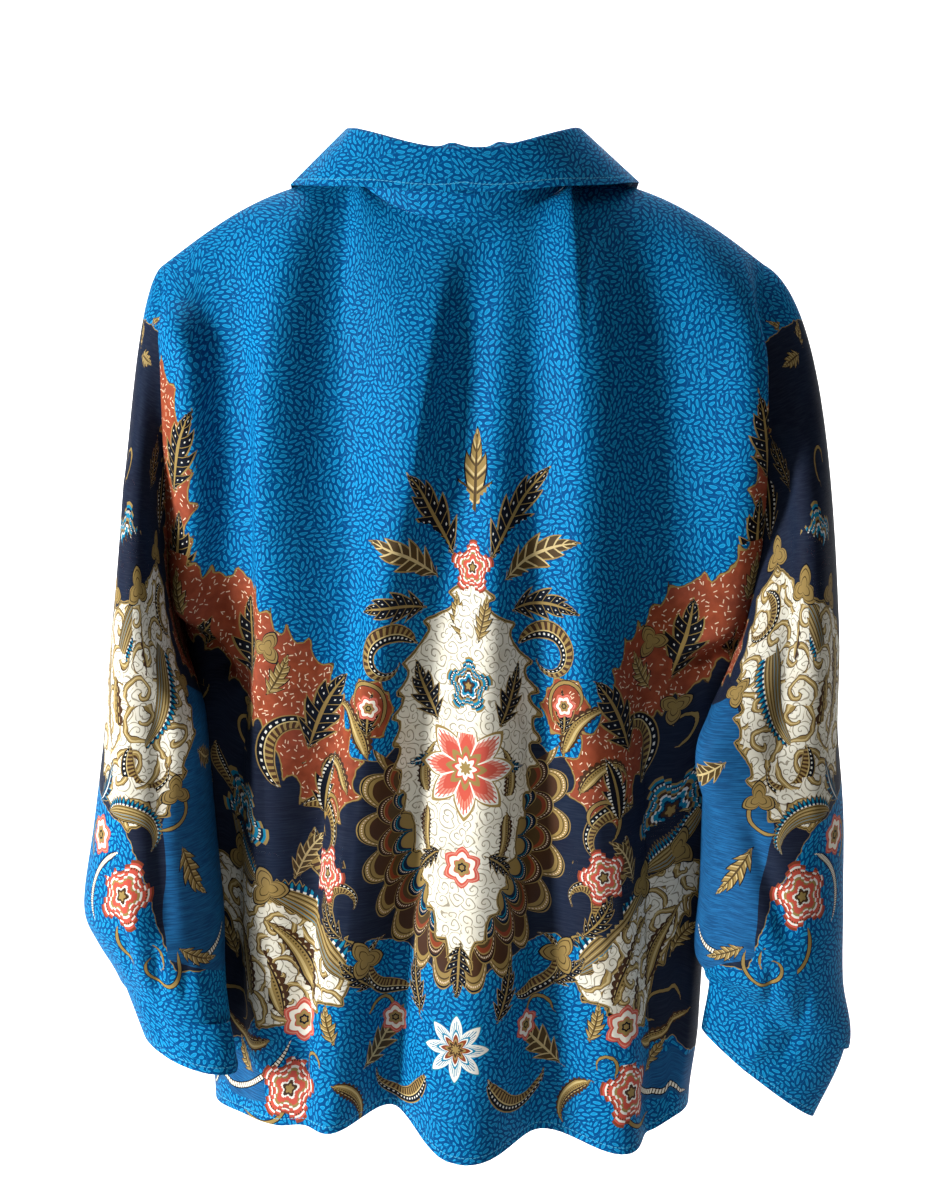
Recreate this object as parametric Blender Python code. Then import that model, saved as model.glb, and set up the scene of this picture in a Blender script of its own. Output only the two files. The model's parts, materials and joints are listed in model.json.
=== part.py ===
"""A long-sleeved batik shirt, worn open at neck, hem and cuffs, built piece by piece as it is cut and sewn.

Metres, +Z up. The wearer's front faces -Y and the wearer's left is +X. The origin lies midway between
the two high points of the shoulders, where the neck's sides meet the shoulder seams.

Every cloth piece is a grid of points on the garment's outer face. Where two pieces are sewn together
their edge points coincide, so they share one normal there. Each piece then becomes a closed wall of
cloth, laid inward along those normals, and its sewn edges are drawn back by half the seam's gap.
"""

import math
from collections import namedtuple

import bmesh
import bpy
import numpy as np
from mathutils import Matrix, Vector

# Cloth and seams
WALL = 0.0016
SEAM_GAP = 0.0003
SPLIT_ALONG = (0.31, 0.57, 1.0)  # a slant along which no two neighbouring edge points are level
SHARP_ANGLE = 50  # degrees
UNDERLAP_DROP = 0.0026  # the right front lies this far under the left at the centre

# Heights of the body, from the shoulders' high points
HEM_Z = -0.720
ARMPIT_Z = -0.335
SECTION_TOP_Z = -0.095  # where the torso's own sections end, inside the shoulders

# Shoulders and neck
SHOULDER_HALF = 0.225
SHOULDER_DROP = 0.067
SHOULDER_CROWN = 0.013  # rise of the shoulder seam over its straight line
NECK_HALF = 0.083
NECK_BACK_DEPTH = 0.060
NECK_FRONT_DEPTH = 0.066
NECK_BACK_DROP = 0.030
NECK_FRONT_DROP = 0.086

# How the body's rows run, as shares from the hem (0) to the neck and shoulder seams (1)
ARMPIT_ROW = 0.55
SHOULDER_ROW = 0.80  # above it the sections round over to the seams
ROWS_TO_ARMPIT = 13
ROWS_TO_SEAM = 11

# Armhole: how far round the torso each edge is cut in from the side, in degrees
BACK_ARMHOLE_CUT = 24.0
FRONT_ARMHOLE_CUT = 31.0
ARMHOLE_BOTTOM = 4.0  # how squarely the cut turns at the armpit
SEAM_ROUNDING_FROM = 0.25  # past this share of the neck's half width, columns round over to the seam

# Front opening
CENTRE_LAP = 0.016  # each front runs this far past the centre
UNDERLAP_EASE = 0.0005  # the right front is fully under this far before its edge
COLLAR_END = 0.003  # the collar's ends stop this far from the centre
FACING_EDGE = 0.030
BUTTON_COUNT = 7
BUTTON_TOP_Z = -0.118
BUTTON_PITCH = 0.087
BUTTON_RADIUS = 0.0057
BUTTON_THICK = 0.0024
BUTTON_WELL_RADIUS = 0.0036
BUTTON_WELL_DEPTH = 0.0007
BUTTON_HOLE_RADIUS = 0.0008
BUTTON_HOLE_OFFSET = 0.0013
BUTTON_SIDES = 16
BUTTON_LIFT = 0.0008  # clear of the cloth, which bends under the button
BUTTON_UNDERSIDE = 0.86  # the underside's radius over the top's
BUTTON_INSET = 0.2  # where the buttons lie, from the last column but one towards the front's edge

# Torso sections: half ovals that meet at the side seams. Sway moves a section towards the left.
SQUARENESS = 2.5  # 2 is an ellipse
Section = namedtuple("Section", "height half_width back_depth front_depth sway")
TORSO = [
    Section(HEM_Z, 0.189, 0.104, 0.098, 0.007),
    Section(-0.610, 0.192, 0.106, 0.098, 0.006),
    Section(-0.475, 0.197, 0.108, 0.100, 0.004),
    Section(ARMPIT_Z, 0.210, 0.110, 0.103, 0.002),
    Section(-0.215, 0.229, 0.108, 0.098, 0.000),
    Section(SECTION_TOP_Z, 0.240, 0.098, 0.088, -0.003),
]

# Fold lines run down the cloth from the seams to the hem. Each row gives where the line crosses from
# side to side (x) at five heights, how far the cloth stands out there (crest) or in (trough) at four,
# and how far the hem dips below its level on that line.
Fold = namedtuple(
    "Fold",
    "seam_x chest_x blade_x waist_x hem_x chest_out blade_out waist_out hem_out hem_dip",
)
FOLD_X_HEIGHTS = (-0.060, -0.176, -0.310, -0.500, HEM_Z)
FOLD_OUT_HEIGHTS = (-0.176, -0.310, -0.500, HEM_Z)
BACK_FOLDS = [
    Fold(0.196, 0.183, 0.178, 0.172, 0.166, -0.007, -0.009, -0.008, -0.006, 0.003),
    Fold(0.118, 0.147, 0.145, 0.148, 0.138, 0.009, 0.010, 0.009, 0.009, 0.002),
    Fold(NECK_HALF, 0.103, 0.106, 0.116, 0.112, -0.012, -0.014, -0.010, 0.008, 0.001),
    Fold(0.056, 0.038, 0.054, 0.078, 0.094, 0.010, 0.013, 0.014, 0.016, -0.002),
    Fold(0.006, 0.004, 0.018, 0.036, 0.050, -0.007, -0.009, -0.014, -0.022, -0.013),
    Fold(-0.030, -0.024, -0.020, -0.014, -0.011, 0.004, 0.006, 0.014, 0.026, 0.016),
    Fold(-0.052, -0.050, -0.052, -0.060, -0.071, -0.006, -0.008, -0.012, -0.015, 0.005),
    Fold(-NECK_HALF, -0.086, -0.088, -0.102, -0.127, 0.011, 0.014, 0.015, 0.020, 0.023),
    Fold(-0.118, -0.146, -0.149, -0.150, -0.155, -0.014, -0.016, -0.012, -0.006, 0.011),
    Fold(-0.196, -0.190, -0.187, -0.178, -0.174, 0.006, 0.003, 0.004, 0.004, 0.014),
]
SIDE_DIPS = (0.007, 0.018)  # the hem's dip at the left and right side seams
BACK_STEPS = (4, 4, 4, 3, 3, 3, 3, 3, 4, 4, 4)  # columns from each fold line to the next
FRONT_FOLDS = [
    Fold(0.196, 0.184, 0.178, 0.174, 0.168, -0.005, -0.007, -0.007, -0.006, 0.008),
    Fold(0.118, 0.138, 0.140, 0.142, 0.142, 0.007, 0.009, 0.010, 0.012, 0.012),
    Fold(NECK_HALF, 0.094, 0.098, 0.104, 0.108, -0.006, -0.009, -0.011, -0.014, -0.004),
    Fold(0.060, 0.056, 0.060, 0.066, 0.072, 0.003, 0.005, 0.008, 0.010, 0.007),
    Fold(FACING_EDGE, FACING_EDGE, FACING_EDGE, FACING_EDGE, FACING_EDGE, 0, 0, 0, 0, 0.002),
    Fold(COLLAR_END, COLLAR_END, COLLAR_END, COLLAR_END, COLLAR_END, 0, 0, 0, 0, 0.002),
    Fold(-CENTRE_LAP, -CENTRE_LAP, -CENTRE_LAP, -CENTRE_LAP, -CENTRE_LAP, 0, 0, 0, 0, 0.002),
]
FRONT_STEPS = (4, 4, 4, 3, 3, 2, 1)

# Sleeves: rings from the upper arm to the cuff's lower edge. Tilt leans the ring's outer edge down.
Ring = namedtuple("Ring", "x y z half_width half_depth tilt")
SLEEVE_RINGS = {
    "left": [
        Ring(0.2385, 0.054, -0.405, 0.0375, 0.076, 2),
        Ring(0.2400, 0.066, -0.480, 0.0450, 0.070, 0),
        Ring(0.2400, 0.072, -0.545, 0.0505, 0.062, -4),
        Ring(0.2310, 0.077, -0.586, 0.0485, 0.052, -10),
        Ring(0.2200, 0.081, -0.624, 0.0410, 0.044, -14),
        Ring(0.2060, 0.086, -0.669, 0.0360, 0.040, -18),
    ],
    "right": [
        Ring(0.2430, 0.054, -0.405, 0.0460, 0.076, 0),
        Ring(0.2395, 0.070, -0.470, 0.0515, 0.070, 0),
        Ring(0.2370, 0.078, -0.535, 0.0530, 0.062, 2),
        Ring(0.2355, 0.078, -0.592, 0.0555, 0.052, 12),
        Ring(0.2400, 0.074, -0.634, 0.0600, 0.034, 27),
        Ring(0.2230, 0.070, -0.690, 0.0570, 0.024, 39),
    ],
}
# How the cap leaves the armhole and meets the first ring: lengths at the shoulder tip and the armpit
Cap = namedtuple("Cap", "leave_tip leave_armpit fall_tip fall_armpit lean")
CAPS = {"left": Cap(0.030, 0.014, 0.134, 0.024, 0.18), "right": Cap(0.050, 0.014, 0.134, 0.024, 0.10)}
CAP_LEAVES_BACK = 0.30  # how far a cap's curve heads back, or forward, for each unit outward
CAP_LEAVES_DOWN = 0.52  # how far it heads down at the shoulder tip
CAP_ROWS = 7
ARM_ROWS = 11
CUFF_ROWS = 3
CUFF_FROM = 0.80  # where the cuff starts, as a share of the way down the rings
SLEEVE_FULLNESS = 1.06  # the sleeve's last ring over the cuff's, taken up in the pleats
# A pouch of slack cloth hangs behind each armpit: where it sits on the sleeve, how far round and along
# it spreads, and how far it stands inward and back
Pouch = namedtuple("Pouch", "angle along angle_spread along_spread inward back")
POUCHES = {
    "left": Pouch(140, 0.36, 34, 0.10, 0.006, 0.012),
    "right": Pouch(132, 0.41, 30, 0.12, 0.028, 0.020),
}

# Collar: what it does from the centre of the back (0) round to its front ends (1)
CollarStation = namedtuple("CollarStation", "share stand lean fall flare_left flare_right spread")
COLLAR = [
    CollarStation(0.00, 0.051, 0.003, 0.029, 20, 20, 0.00),
    CollarStation(0.22, 0.046, 0.002, 0.037, 28, 30, 0.00),
    CollarStation(0.45, 0.033, 0.001, 0.061, 50, 60, 0.00),
    CollarStation(0.70, 0.027, -0.001, 0.062, 50, 54, 0.10),
    CollarStation(1.00, 0.026, -0.001, 0.070, 36, 38, 0.55),
]
COLLAR_STAND_ROWS = 3
COLLAR_ROLL_ROWS = 3
COLLAR_FALL_ROWS = 4
COLLAR_ROLL = 0.0032  # radius of the roll where the collar turns over

# Colours
BLUE = (0.004, 0.105, 0.300, 1.0)
NAVY = (0.010, 0.014, 0.040, 1.0)
BUTTON_BLUE = (0.006, 0.030, 0.075, 1.0)


def smooth(values, knots, at):
    """A curve through the values at the knots, by cubic pieces whose slopes are the averages there."""
    knots, values = np.asarray(knots, float), np.asarray(values, float)
    if knots[0] > knots[-1]:
        knots, values = knots[::-1], values[::-1]
    rises = np.diff(values) / np.diff(knots)
    slopes = np.concatenate([rises[:1], (rises[1:] + rises[:-1]) / 2, rises[-1:]])
    at = np.clip(at, knots[0], knots[-1])
    i = np.clip(np.searchsorted(knots, at, side="right") - 1, 0, len(knots) - 2)
    step = knots[i + 1] - knots[i]
    t = (at - knots[i]) / step
    return (
        values[i] * (2 * t**3 - 3 * t**2 + 1)
        + slopes[i] * step * (t**3 - 2 * t**2 + t)
        + values[i + 1] * (3 * t**2 - 2 * t**3)
        + slopes[i + 1] * step * (t**3 - t**2)
    )


def column(table, name):
    return [getattr(row, name) for row in table]


def ease(t):
    """0 to 1 with level ends."""
    t = np.clip(t, 0, 1)
    return t * t * (3 - 2 * t)


def unit(vectors):
    return vectors / np.maximum(np.linalg.norm(vectors, axis=-1, keepdims=True), 1e-12)


# The body


def body_rows():
    """Shares from hem to seam, one for each row of the body's panels."""
    below = np.linspace(0, ARMPIT_ROW, ROWS_TO_ARMPIT + 1)
    above = np.linspace(ARMPIT_ROW, 1, ROWS_TO_SEAM + 1)
    return np.concatenate([below, above[1:]])


def seam_point(x, front):
    """The point of the neck and shoulder seams over x: a dropped ellipse round the neck, then the
    shoulder's slope with a slight crown."""
    neck = np.clip(x / NECK_HALF, -1, 1)
    across = np.sqrt(1 - neck**2)
    drop = NECK_FRONT_DROP if front else NECK_BACK_DROP
    depth = -NECK_FRONT_DEPTH if front else NECK_BACK_DEPTH
    along = np.clip((np.abs(x) - NECK_HALF) / (SHOULDER_HALF - NECK_HALF), 0, 1)
    crown = SHOULDER_CROWN * np.sin(math.pi * along)
    z = -drop * across**2 - SHOULDER_DROP * along + crown
    return np.stack([x, depth * across, z], axis=-1)


def columns_of(steps):
    """Column places in fold-line units: whole numbers are the lines themselves."""
    parts = [i + np.arange(n) / n for i, n in enumerate(steps)]
    return np.concatenate(parts + [[len(steps)]])


def between_lines(lines, at, wave):
    """Values at fold lines (rows, lines) read at column places, straight or as half waves."""
    i = np.minimum(at.astype(int), lines.shape[1] - 2)
    t = at - i
    if wave:
        t = (1 - np.cos(math.pi * t)) / 2
    return lines[:, i] * (1 - t) + lines[:, i + 1] * t


def fold_lines(folds, names, heights, at):
    """The fold table's named columns read at the rows' heights, one column for each fold line."""
    lines = [smooth([getattr(f, n) for n in names], heights, at) for f in folds]
    return np.concatenate(lines, axis=1)


def torso_panel(folds, steps, front, side):
    """The grid of one body panel, rows from the hem up and columns from side to side.

    A row is an arc of the torso's oval between its edges, moved in and out by the folds. From the
    shoulder row up, each column rounds over, as a quarter ellipse, to its point of the seam. side is
    +1 or -1 for a front, whose first column is its side edge, and 0 for the whole back.
    """
    share = body_rows()[:, None]
    section_z = np.interp(share, [0, ARMPIT_ROW, 1], [HEM_Z, ARMPIT_Z, SECTION_TOP_Z])
    heights = column(TORSO, "height")
    width = smooth(column(TORSO, "half_width"), heights, section_z)
    depth = smooth(column(TORSO, "front_depth" if front else "back_depth"), heights, section_z)
    sway = smooth(column(TORSO, "sway"), heights, section_z)

    line_x = fold_lines(folds, Fold._fields[:5], FOLD_X_HEIGHTS, section_z)
    line_out = fold_lines(folds, Fold._fields[5:9], FOLD_OUT_HEIGHTS, section_z)
    line_dip = np.array([column(folds, "hem_dip")])
    cut = math.radians(FRONT_ARMHOLE_CUT if front else BACK_ARMHOLE_CUT)
    up = np.clip((share - ARMPIT_ROW) / (1 - ARMPIT_ROW), 0, 1)
    edge = math.pi / 2 - cut * (1 - (1 - up) ** ARMHOLE_BOTTOM)
    across = np.clip(line_x / width, -0.999, 0.999)
    line_angle = np.arcsin(np.sign(across) * np.abs(across) ** (SQUARENESS / 2))
    level = np.zeros_like(edge)
    angles = [edge, line_angle]
    outs = [level, line_out]
    seams = [SHOULDER_HALF] + column(folds, "seam_x")
    dips = [[[SIDE_DIPS[0 if side >= 0 else 1]]], line_dip]
    if not side:
        angles.append(-edge)
        outs.append(level)
        seams.append(-SHOULDER_HALF)
        dips.append([[SIDE_DIPS[1]]])

    at = columns_of(steps)
    angle = between_lines(np.concatenate(angles, axis=1), at, wave=False)
    out = between_lines(np.concatenate(outs, axis=1), at, wave=True)
    dip = between_lines(np.concatenate(dips, axis=1), at, wave=True)
    dip = dip * (1 - np.clip(share / ARMPIT_ROW, 0, 1)) ** 2
    facing = -1 if front else 1
    turn = np.clip((share - SHOULDER_ROW) / (1 - SHOULDER_ROW), 0, 1)
    shoulder_z = np.interp(SHOULDER_ROW, [ARMPIT_ROW, 1], [ARMPIT_Z, SECTION_TOP_Z])
    level_z = np.minimum(section_z, shoulder_z)
    right_way = np.sign(np.sin(angle))
    across = np.abs(np.sin(angle)) ** (2 / SQUARENESS) * right_way
    through = np.abs(np.cos(angle)) ** (2 / SQUARENESS) * facing
    section = np.stack([width * across, depth * through, level_z - dip], axis=-1)
    steep = SQUARENESS - 1
    outward = np.stack(
        [
            np.abs(across) ** steep * right_way / width,
            np.abs(through) ** steep * facing / depth,
            0 * angle,
        ],
        axis=-1,
    )
    outward = unit(outward)
    section = section + outward * out[..., None]

    seam_x = np.interp(at, np.arange(len(seams)), seams)
    seam = seam_point(seam_x, front)[None]
    rounded_from = SEAM_ROUNDING_FROM * NECK_HALF
    rounding = ease((np.abs(seam_x) - rounded_from) / (NECK_HALF - rounded_from))[None]
    rise = (1 - rounding) * turn + rounding * np.sin(turn * math.pi / 2)
    close = (1 - rounding) * turn**2 + rounding * (1 - np.cos(turn * math.pi / 2))
    weight = np.stack([close, close, rise], axis=-1)
    grid = section * (1 - weight) + seam * weight

    if side < 0:  # the right front is cut as the left and mirrored, and lies under it at the centre
        lap = np.clip((FACING_EDGE - grid[..., 0]) / (FACING_EDGE - CENTRE_LAP - UNDERLAP_EASE), 0, 1)
        grid = grid - outward * (lap * UNDERLAP_DROP)[..., None]
        grid[..., 0] *= -1
    grid[..., 0] += sway
    return grid


# Sleeves and cuffs


def arc_shares(points):
    """How far along a line of points each lies, from 0 to 1."""
    steps = np.linalg.norm(np.diff(points, axis=0), axis=1)
    along = np.concatenate([[0], np.cumsum(steps)])
    return along / along[-1]


def armhole(back_edge, front_edge):
    """The armhole's loop, from the shoulder tip down the back to the armpit and up the front, and
    each point's angle round the sleeve."""
    down, up = back_edge[::-1], front_edge
    loop = np.concatenate([down, up[1:-1]])
    angles = np.concatenate([arc_shares(down) * math.pi, (1 + arc_shares(up)[1:-1]) * math.pi])
    return loop, angles


def sleeve_ring(rings, at, angles, side):
    """A row of points round the sleeve at each place along it: an ellipse about the arm's line, its
    width leaning with the ring's tilt."""
    knots = np.linspace(0, 1, len(rings))
    x, y, z, wide, deep, tilt = (
        smooth(column(rings, name), knots, at)[:, None] for name in Ring._fields
    )
    tilt = np.radians(tilt)
    across, through = wide * np.cos(angles), deep * np.sin(angles)
    return np.stack(
        [
            side * (x + across * np.cos(tilt)),
            y + through,
            z - across * np.sin(tilt),
        ],
        axis=-1,
    )


def sleeve_panel(name, side, loop, angles):
    """The sleeve's grid, rows from the armhole down to the cuff's seam.

    The cap is a row of cubic curves, one for each point of the armhole. Each leaves the armhole
    outward and comes down onto the first ring. Below it the rows are the rings themselves.
    """
    rings = SLEEVE_RINGS[name]
    first = sleeve_ring(rings, np.array([0.0]), angles, side)[0]
    over, back = np.cos(angles), np.sin(angles)
    shape = CAPS[name]
    top = (over + 1) / 2
    down = -CAP_LEAVES_DOWN * np.maximum(over, 0)
    leave = np.stack([side + 0 * over, CAP_LEAVES_BACK * back, down], axis=-1)
    leave = unit(leave) * (shape.leave_armpit + (shape.leave_tip - shape.leave_armpit) * top)[:, None]
    fall = np.stack([-shape.lean * side * top, 0 * top, 1 + 0 * top], axis=-1)
    fall = unit(fall) * (shape.fall_armpit + (shape.fall_tip - shape.fall_armpit) * top)[:, None]
    t = np.linspace(0, 1, CAP_ROWS + 1)[:, None, None]
    cap = (
        loop * (1 - t) ** 3
        + 3 * (loop + leave) * t * (1 - t) ** 2
        + 3 * (first + fall) * t**2 * (1 - t)
        + first * t**3
    )
    at = np.linspace(0, CUFF_FROM, ARM_ROWS + 1)[1:]
    full = 1 + (SLEEVE_FULLNESS - 1) * ease(at / CUFF_FROM)
    arm = sleeve_ring(rings, at, angles, side)
    middle = arm.mean(axis=1, keepdims=True)
    arm = middle + (arm - middle) * full[:, None, None]
    grid = np.concatenate([cap, arm])

    pouch = POUCHES[name]
    along = np.linspace(0, 1, len(grid))[:, None]
    off_angle = (np.degrees(angles)[None] - pouch.angle) / pouch.angle_spread
    off_along = (along - pouch.along) / pouch.along_spread
    swell = np.exp(-(off_angle**2) - off_along**2)
    move = np.array([-side * pouch.inward, pouch.back, 0])
    return grid + move * swell[..., None]


def cuff_panel(name, side, angles):
    """The cuff's grid, from its seam to its lower edge."""
    at = np.linspace(CUFF_FROM, 1, CUFF_ROWS + 1)
    return sleeve_ring(SLEEVE_RINGS[name], at, angles, side)


# Collar


def collar_panel(neck):
    """The collar's grid on the neck seam's points: up the stand, round the roll and down the fall.

    Each column is a profile in the plane that stands out from the neck there. Towards the front ends
    the fall also spreads back round the neck, which makes the collar's points.
    """
    middle = len(neck) // 2
    around = arc_shares(neck) * 2 - 1
    share = np.abs(around)
    knots = column(COLLAR, "share")
    stand, lean, fall, flare_left, flare_right, spread = (
        smooth(column(COLLAR, name), knots, share) for name in CollarStation._fields[1:]
    )
    flare = np.radians(np.where(around < 0, flare_left, flare_right))
    tangent = unit(np.gradient(neck, axis=0) * [1, 1, 0])
    out = np.stack([tangent[:, 1], -tangent[:, 0], 0 * share], axis=-1)
    out = out * np.sign(out[middle, 1])
    back_round = -tangent * np.sign(around)[:, None]
    up = np.array([0.0, 0.0, 1.0])

    def at(sideways, height):
        return neck + out * sideways[:, None] + up * height[:, None]

    rows = []
    for t in np.linspace(0, 1, COLLAR_STAND_ROWS + 1):
        rows.append(at(-lean * t, stand * t))
    for t in np.linspace(0, 1, COLLAR_ROLL_ROWS + 1)[1:]:
        turn = t * (math.pi - flare)
        rows.append(
            at(-lean + COLLAR_ROLL * (1 - np.cos(turn)), stand + COLLAR_ROLL * np.sin(turn))
        )
    direction = out * np.sin(flare)[:, None] - up * np.cos(flare)[:, None]
    direction = unit(direction + back_round * spread[:, None])
    start = rows[-1]
    for t in np.linspace(0, 1, COLLAR_FALL_ROWS + 1)[1:]:
        rows.append(start + direction * (fall * t)[:, None])
    return np.stack(rows)


# Cloth walls


Panel = namedtuple("Panel", "grid closed outward_sign sewn")


def grid_normals(grid, closed):
    """Normals of a grid of points, from the differences along its rows and columns."""
    down = np.gradient(grid, axis=0)
    if closed:
        wide = np.concatenate([grid[:, -1:], grid, grid[:, :1]], axis=1)
        across = np.gradient(wide, axis=1)[:, 1:-1]
    else:
        across = np.gradient(grid, axis=1)
    return unit(np.cross(across, down))


def shared_normals(panels):
    """Each panel's normals, averaged over all the points that coincide across the seams."""
    normals = {
        name: grid_normals(p.grid, p.closed) * p.outward_sign for name, p in panels.items()
    }
    points = np.concatenate([p.grid.reshape(-1, 3) for p in panels.values()])
    flat = np.concatenate([n.reshape(-1, 3) for n in normals.values()])
    _, index = np.unique(np.round(points, 6), axis=0, return_inverse=True)
    index = index.reshape(-1)
    total = np.zeros((index.max() + 1, 3))
    np.add.at(total, index, flat)
    flat = unit(total)[index]
    shared, start = {}, 0
    for name, panel in panels.items():
        count = panel.grid[..., 0].size
        shared[name] = flat[start : start + count].reshape(panel.grid.shape)
        start += count
    return shared


def set_back(edge, inside, normals):
    """An edge's points moved in by half the seam's gap, within the cloth and square to the edge."""
    along = np.gradient(edge, axis=0)
    inward = unit(np.cross(normals, along))
    inward *= np.sign(np.sum(inward * (inside - edge), axis=-1, keepdims=True))
    return edge + inward * SEAM_GAP / 2


def drawn_back(layer, sewn, closed, normals):
    """The layer with its sewn edges set back."""
    layer = layer.copy()
    if "first_row" in sewn:
        layer[0] = set_back(layer[0], layer[1], normals[0])
    if "last_row" in sewn:
        layer[-1] = set_back(layer[-1], layer[-2], normals[-1])
    if not closed:
        if "first_column" in sewn:
            layer[:, 0] = set_back(layer[:, 0], layer[:, 1], normals[:, 0])
        if "last_column" in sewn:
            layer[:, -1] = set_back(layer[:, -1], layer[:, -2], normals[:, -1])
    return layer


def wall_mesh(name, panel, normals):
    """A closed mesh: the outer face, the inner face one wall thickness inside it, and the edges."""
    outer = drawn_back(panel.grid, panel.sewn, panel.closed, normals)
    inner = drawn_back(panel.grid - normals * WALL, panel.sewn, panel.closed, normals)
    rows, columns = panel.grid.shape[:2]
    index = np.arange(rows * columns).reshape(rows, columns)
    ring = np.concatenate([index, index[:, :1]], axis=1) if panel.closed else index
    quads = np.stack([ring[:-1, :-1], ring[1:, :-1], ring[1:, 1:], ring[:-1, 1:]], axis=-1)
    quads = quads.reshape(-1, 4)
    far = rows * columns
    faces = [quads, quads[:, ::-1] + far]
    borders = [ring[0], ring[-1][::-1]]
    if not panel.closed:
        borders += [index[::-1, 0], index[:, -1]]
    quads = np.concatenate(faces)
    edges = np.concatenate([np.stack([e[:-1], e[1:]], axis=-1) for e in borders])
    # An edge's strip is split from the lower outer point, so pieces sewn together split alike.
    height = outer.reshape(-1, 3) @ SPLIT_ALONG
    rising = height[edges[:, 0]] < height[edges[:, 1]]
    p, q = edges.T
    first = np.where(rising[:, None], np.stack([p, q, q + far], 1), np.stack([p, q, p + far], 1))
    second = np.where(
        rising[:, None], np.stack([p, q + far, p + far], 1), np.stack([q, q + far, p + far], 1)
    )
    triangles = np.concatenate([first, second])
    if panel.outward_sign > 0:
        quads, triangles = quads[:, ::-1], triangles[:, ::-1]
    faces = quads.tolist() + triangles.tolist()
    points = np.concatenate([outer.reshape(-1, 3), inner.reshape(-1, 3)])
    mesh = bpy.data.meshes.new(name)
    mesh.from_pydata(points.tolist(), [], faces)
    mesh.update()
    return mesh


def new_material(name, colour, roughness):
    material = bpy.data.materials.new(name)
    material.use_nodes = True
    shader = material.node_tree.nodes["Principled BSDF"]
    shader.inputs["Base Color"].default_value = colour
    shader.inputs["Roughness"].default_value = roughness
    shader.inputs["Metallic"].default_value = 0.0
    return material


def place(name, mesh, material, location=(0, 0, 0)):
    node = bpy.data.objects.new(name, mesh)
    node.location = location
    mesh.materials.append(material)
    mesh.shade_smooth()
    mesh.set_sharp_from_angle(angle=math.radians(SHARP_ANGLE))
    bpy.context.scene.collection.objects.link(node)
    return node


# Buttons


def button_mesh():
    """A round button facing +Z on its own centre: a rim round a shallow well with four holes."""
    build = bmesh.new()
    bmesh.ops.create_cone(
        build,
        cap_ends=True,
        segments=BUTTON_SIDES,
        radius1=BUTTON_RADIUS * BUTTON_UNDERSIDE,
        radius2=BUTTON_RADIUS,
        depth=BUTTON_THICK,
    )
    top = [f for f in build.faces if f.normal.z > 0.9]
    bmesh.ops.inset_region(build, faces=top, thickness=BUTTON_RADIUS - BUTTON_WELL_RADIUS)
    well = [f for f in build.faces if f.normal.z > 0.9 and len(f.verts) == BUTTON_SIDES]
    sunk = bmesh.ops.extrude_face_region(build, geom=well)["geom"]
    bmesh.ops.delete(build, geom=well, context="FACES_ONLY")
    floor = [v for v in sunk if isinstance(v, bmesh.types.BMVert)]
    bmesh.ops.translate(build, verts=floor, vec=(0, 0, -BUTTON_WELL_DEPTH))
    mesh = bpy.data.meshes.new("button")
    build.to_mesh(mesh)
    build.free()
    return mesh


def drill_for_holes():
    """A hidden cutter with the button's four thread holes."""
    build = bmesh.new()
    for i in range(4):
        turn = math.radians(45 + 90 * i)
        place_at = Vector((math.cos(turn), math.sin(turn), 0)) * BUTTON_HOLE_OFFSET * math.sqrt(2)
        bmesh.ops.create_cone(
            build,
            cap_ends=True,
            segments=6,
            radius1=BUTTON_HOLE_RADIUS,
            radius2=BUTTON_HOLE_RADIUS,
            depth=BUTTON_THICK * 3,
            matrix=Matrix.Translation(place_at),
        )
    mesh = bpy.data.meshes.new("thread_holes")
    build.to_mesh(mesh)
    build.free()
    return mesh


def add_button(name, mesh, holes, material, cloth_point, outward):
    """A button resting on the cloth at a point, its face turned outward and its holes drilled."""
    outward = Vector(outward).normalized()
    spot = Vector(cloth_point) + outward * (BUTTON_LIFT + BUTTON_THICK / 2)
    turn = outward.to_track_quat("Z", "Y")
    button = place(name, mesh.copy(), material, spot)
    cutter = place(f"holes_{name}", holes, material, spot)
    for item in (button, cutter):
        item.rotation_mode = "QUATERNION"
        item.rotation_quaternion = turn
    cutter.hide_render = True
    drill = button.modifiers.new("thread holes", "BOOLEAN")
    drill.operation = "DIFFERENCE"
    drill.object = cutter


def add_buttons(panels, material):
    """Buttons down the centre of the left front, and one on the front of each cuff."""
    mesh, holes = button_mesh(), drill_for_holes()
    grid = panels["front_left"].grid[::-1]
    centre = grid[:, -2] * (1 - BUTTON_INSET) + grid[:, -1] * BUTTON_INSET
    for i in range(BUTTON_COUNT):
        z = BUTTON_TOP_Z - i * BUTTON_PITCH
        x, y = (np.interp(-z, -centre[:, 2], centre[:, k]) for k in (0, 1))
        ends = [-z - BUTTON_RADIUS, -z + BUTTON_RADIUS]
        above, below = np.interp(ends, -centre[:, 2], centre[:, 1])
        outward = (0, -2 * BUTTON_RADIUS, above - below)
        add_button(f"button_{i + 1}", mesh, holes, material, (x, y, z), outward)
    for name in ("left", "right"):
        panel = panels[f"cuff_{name}"]
        normals = grid_normals(panel.grid, True) * panel.outward_sign
        row, spoke = CUFF_ROWS // 2, int(np.argmin(panel.grid[CUFF_ROWS // 2, :, 1]))
        middle = panel.grid[row : row + 2, spoke].mean(axis=0)
        outward = normals[row : row + 2, spoke].mean(axis=0)
        add_button(f"button_cuff_{name}", mesh, holes, material, middle, outward)


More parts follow.
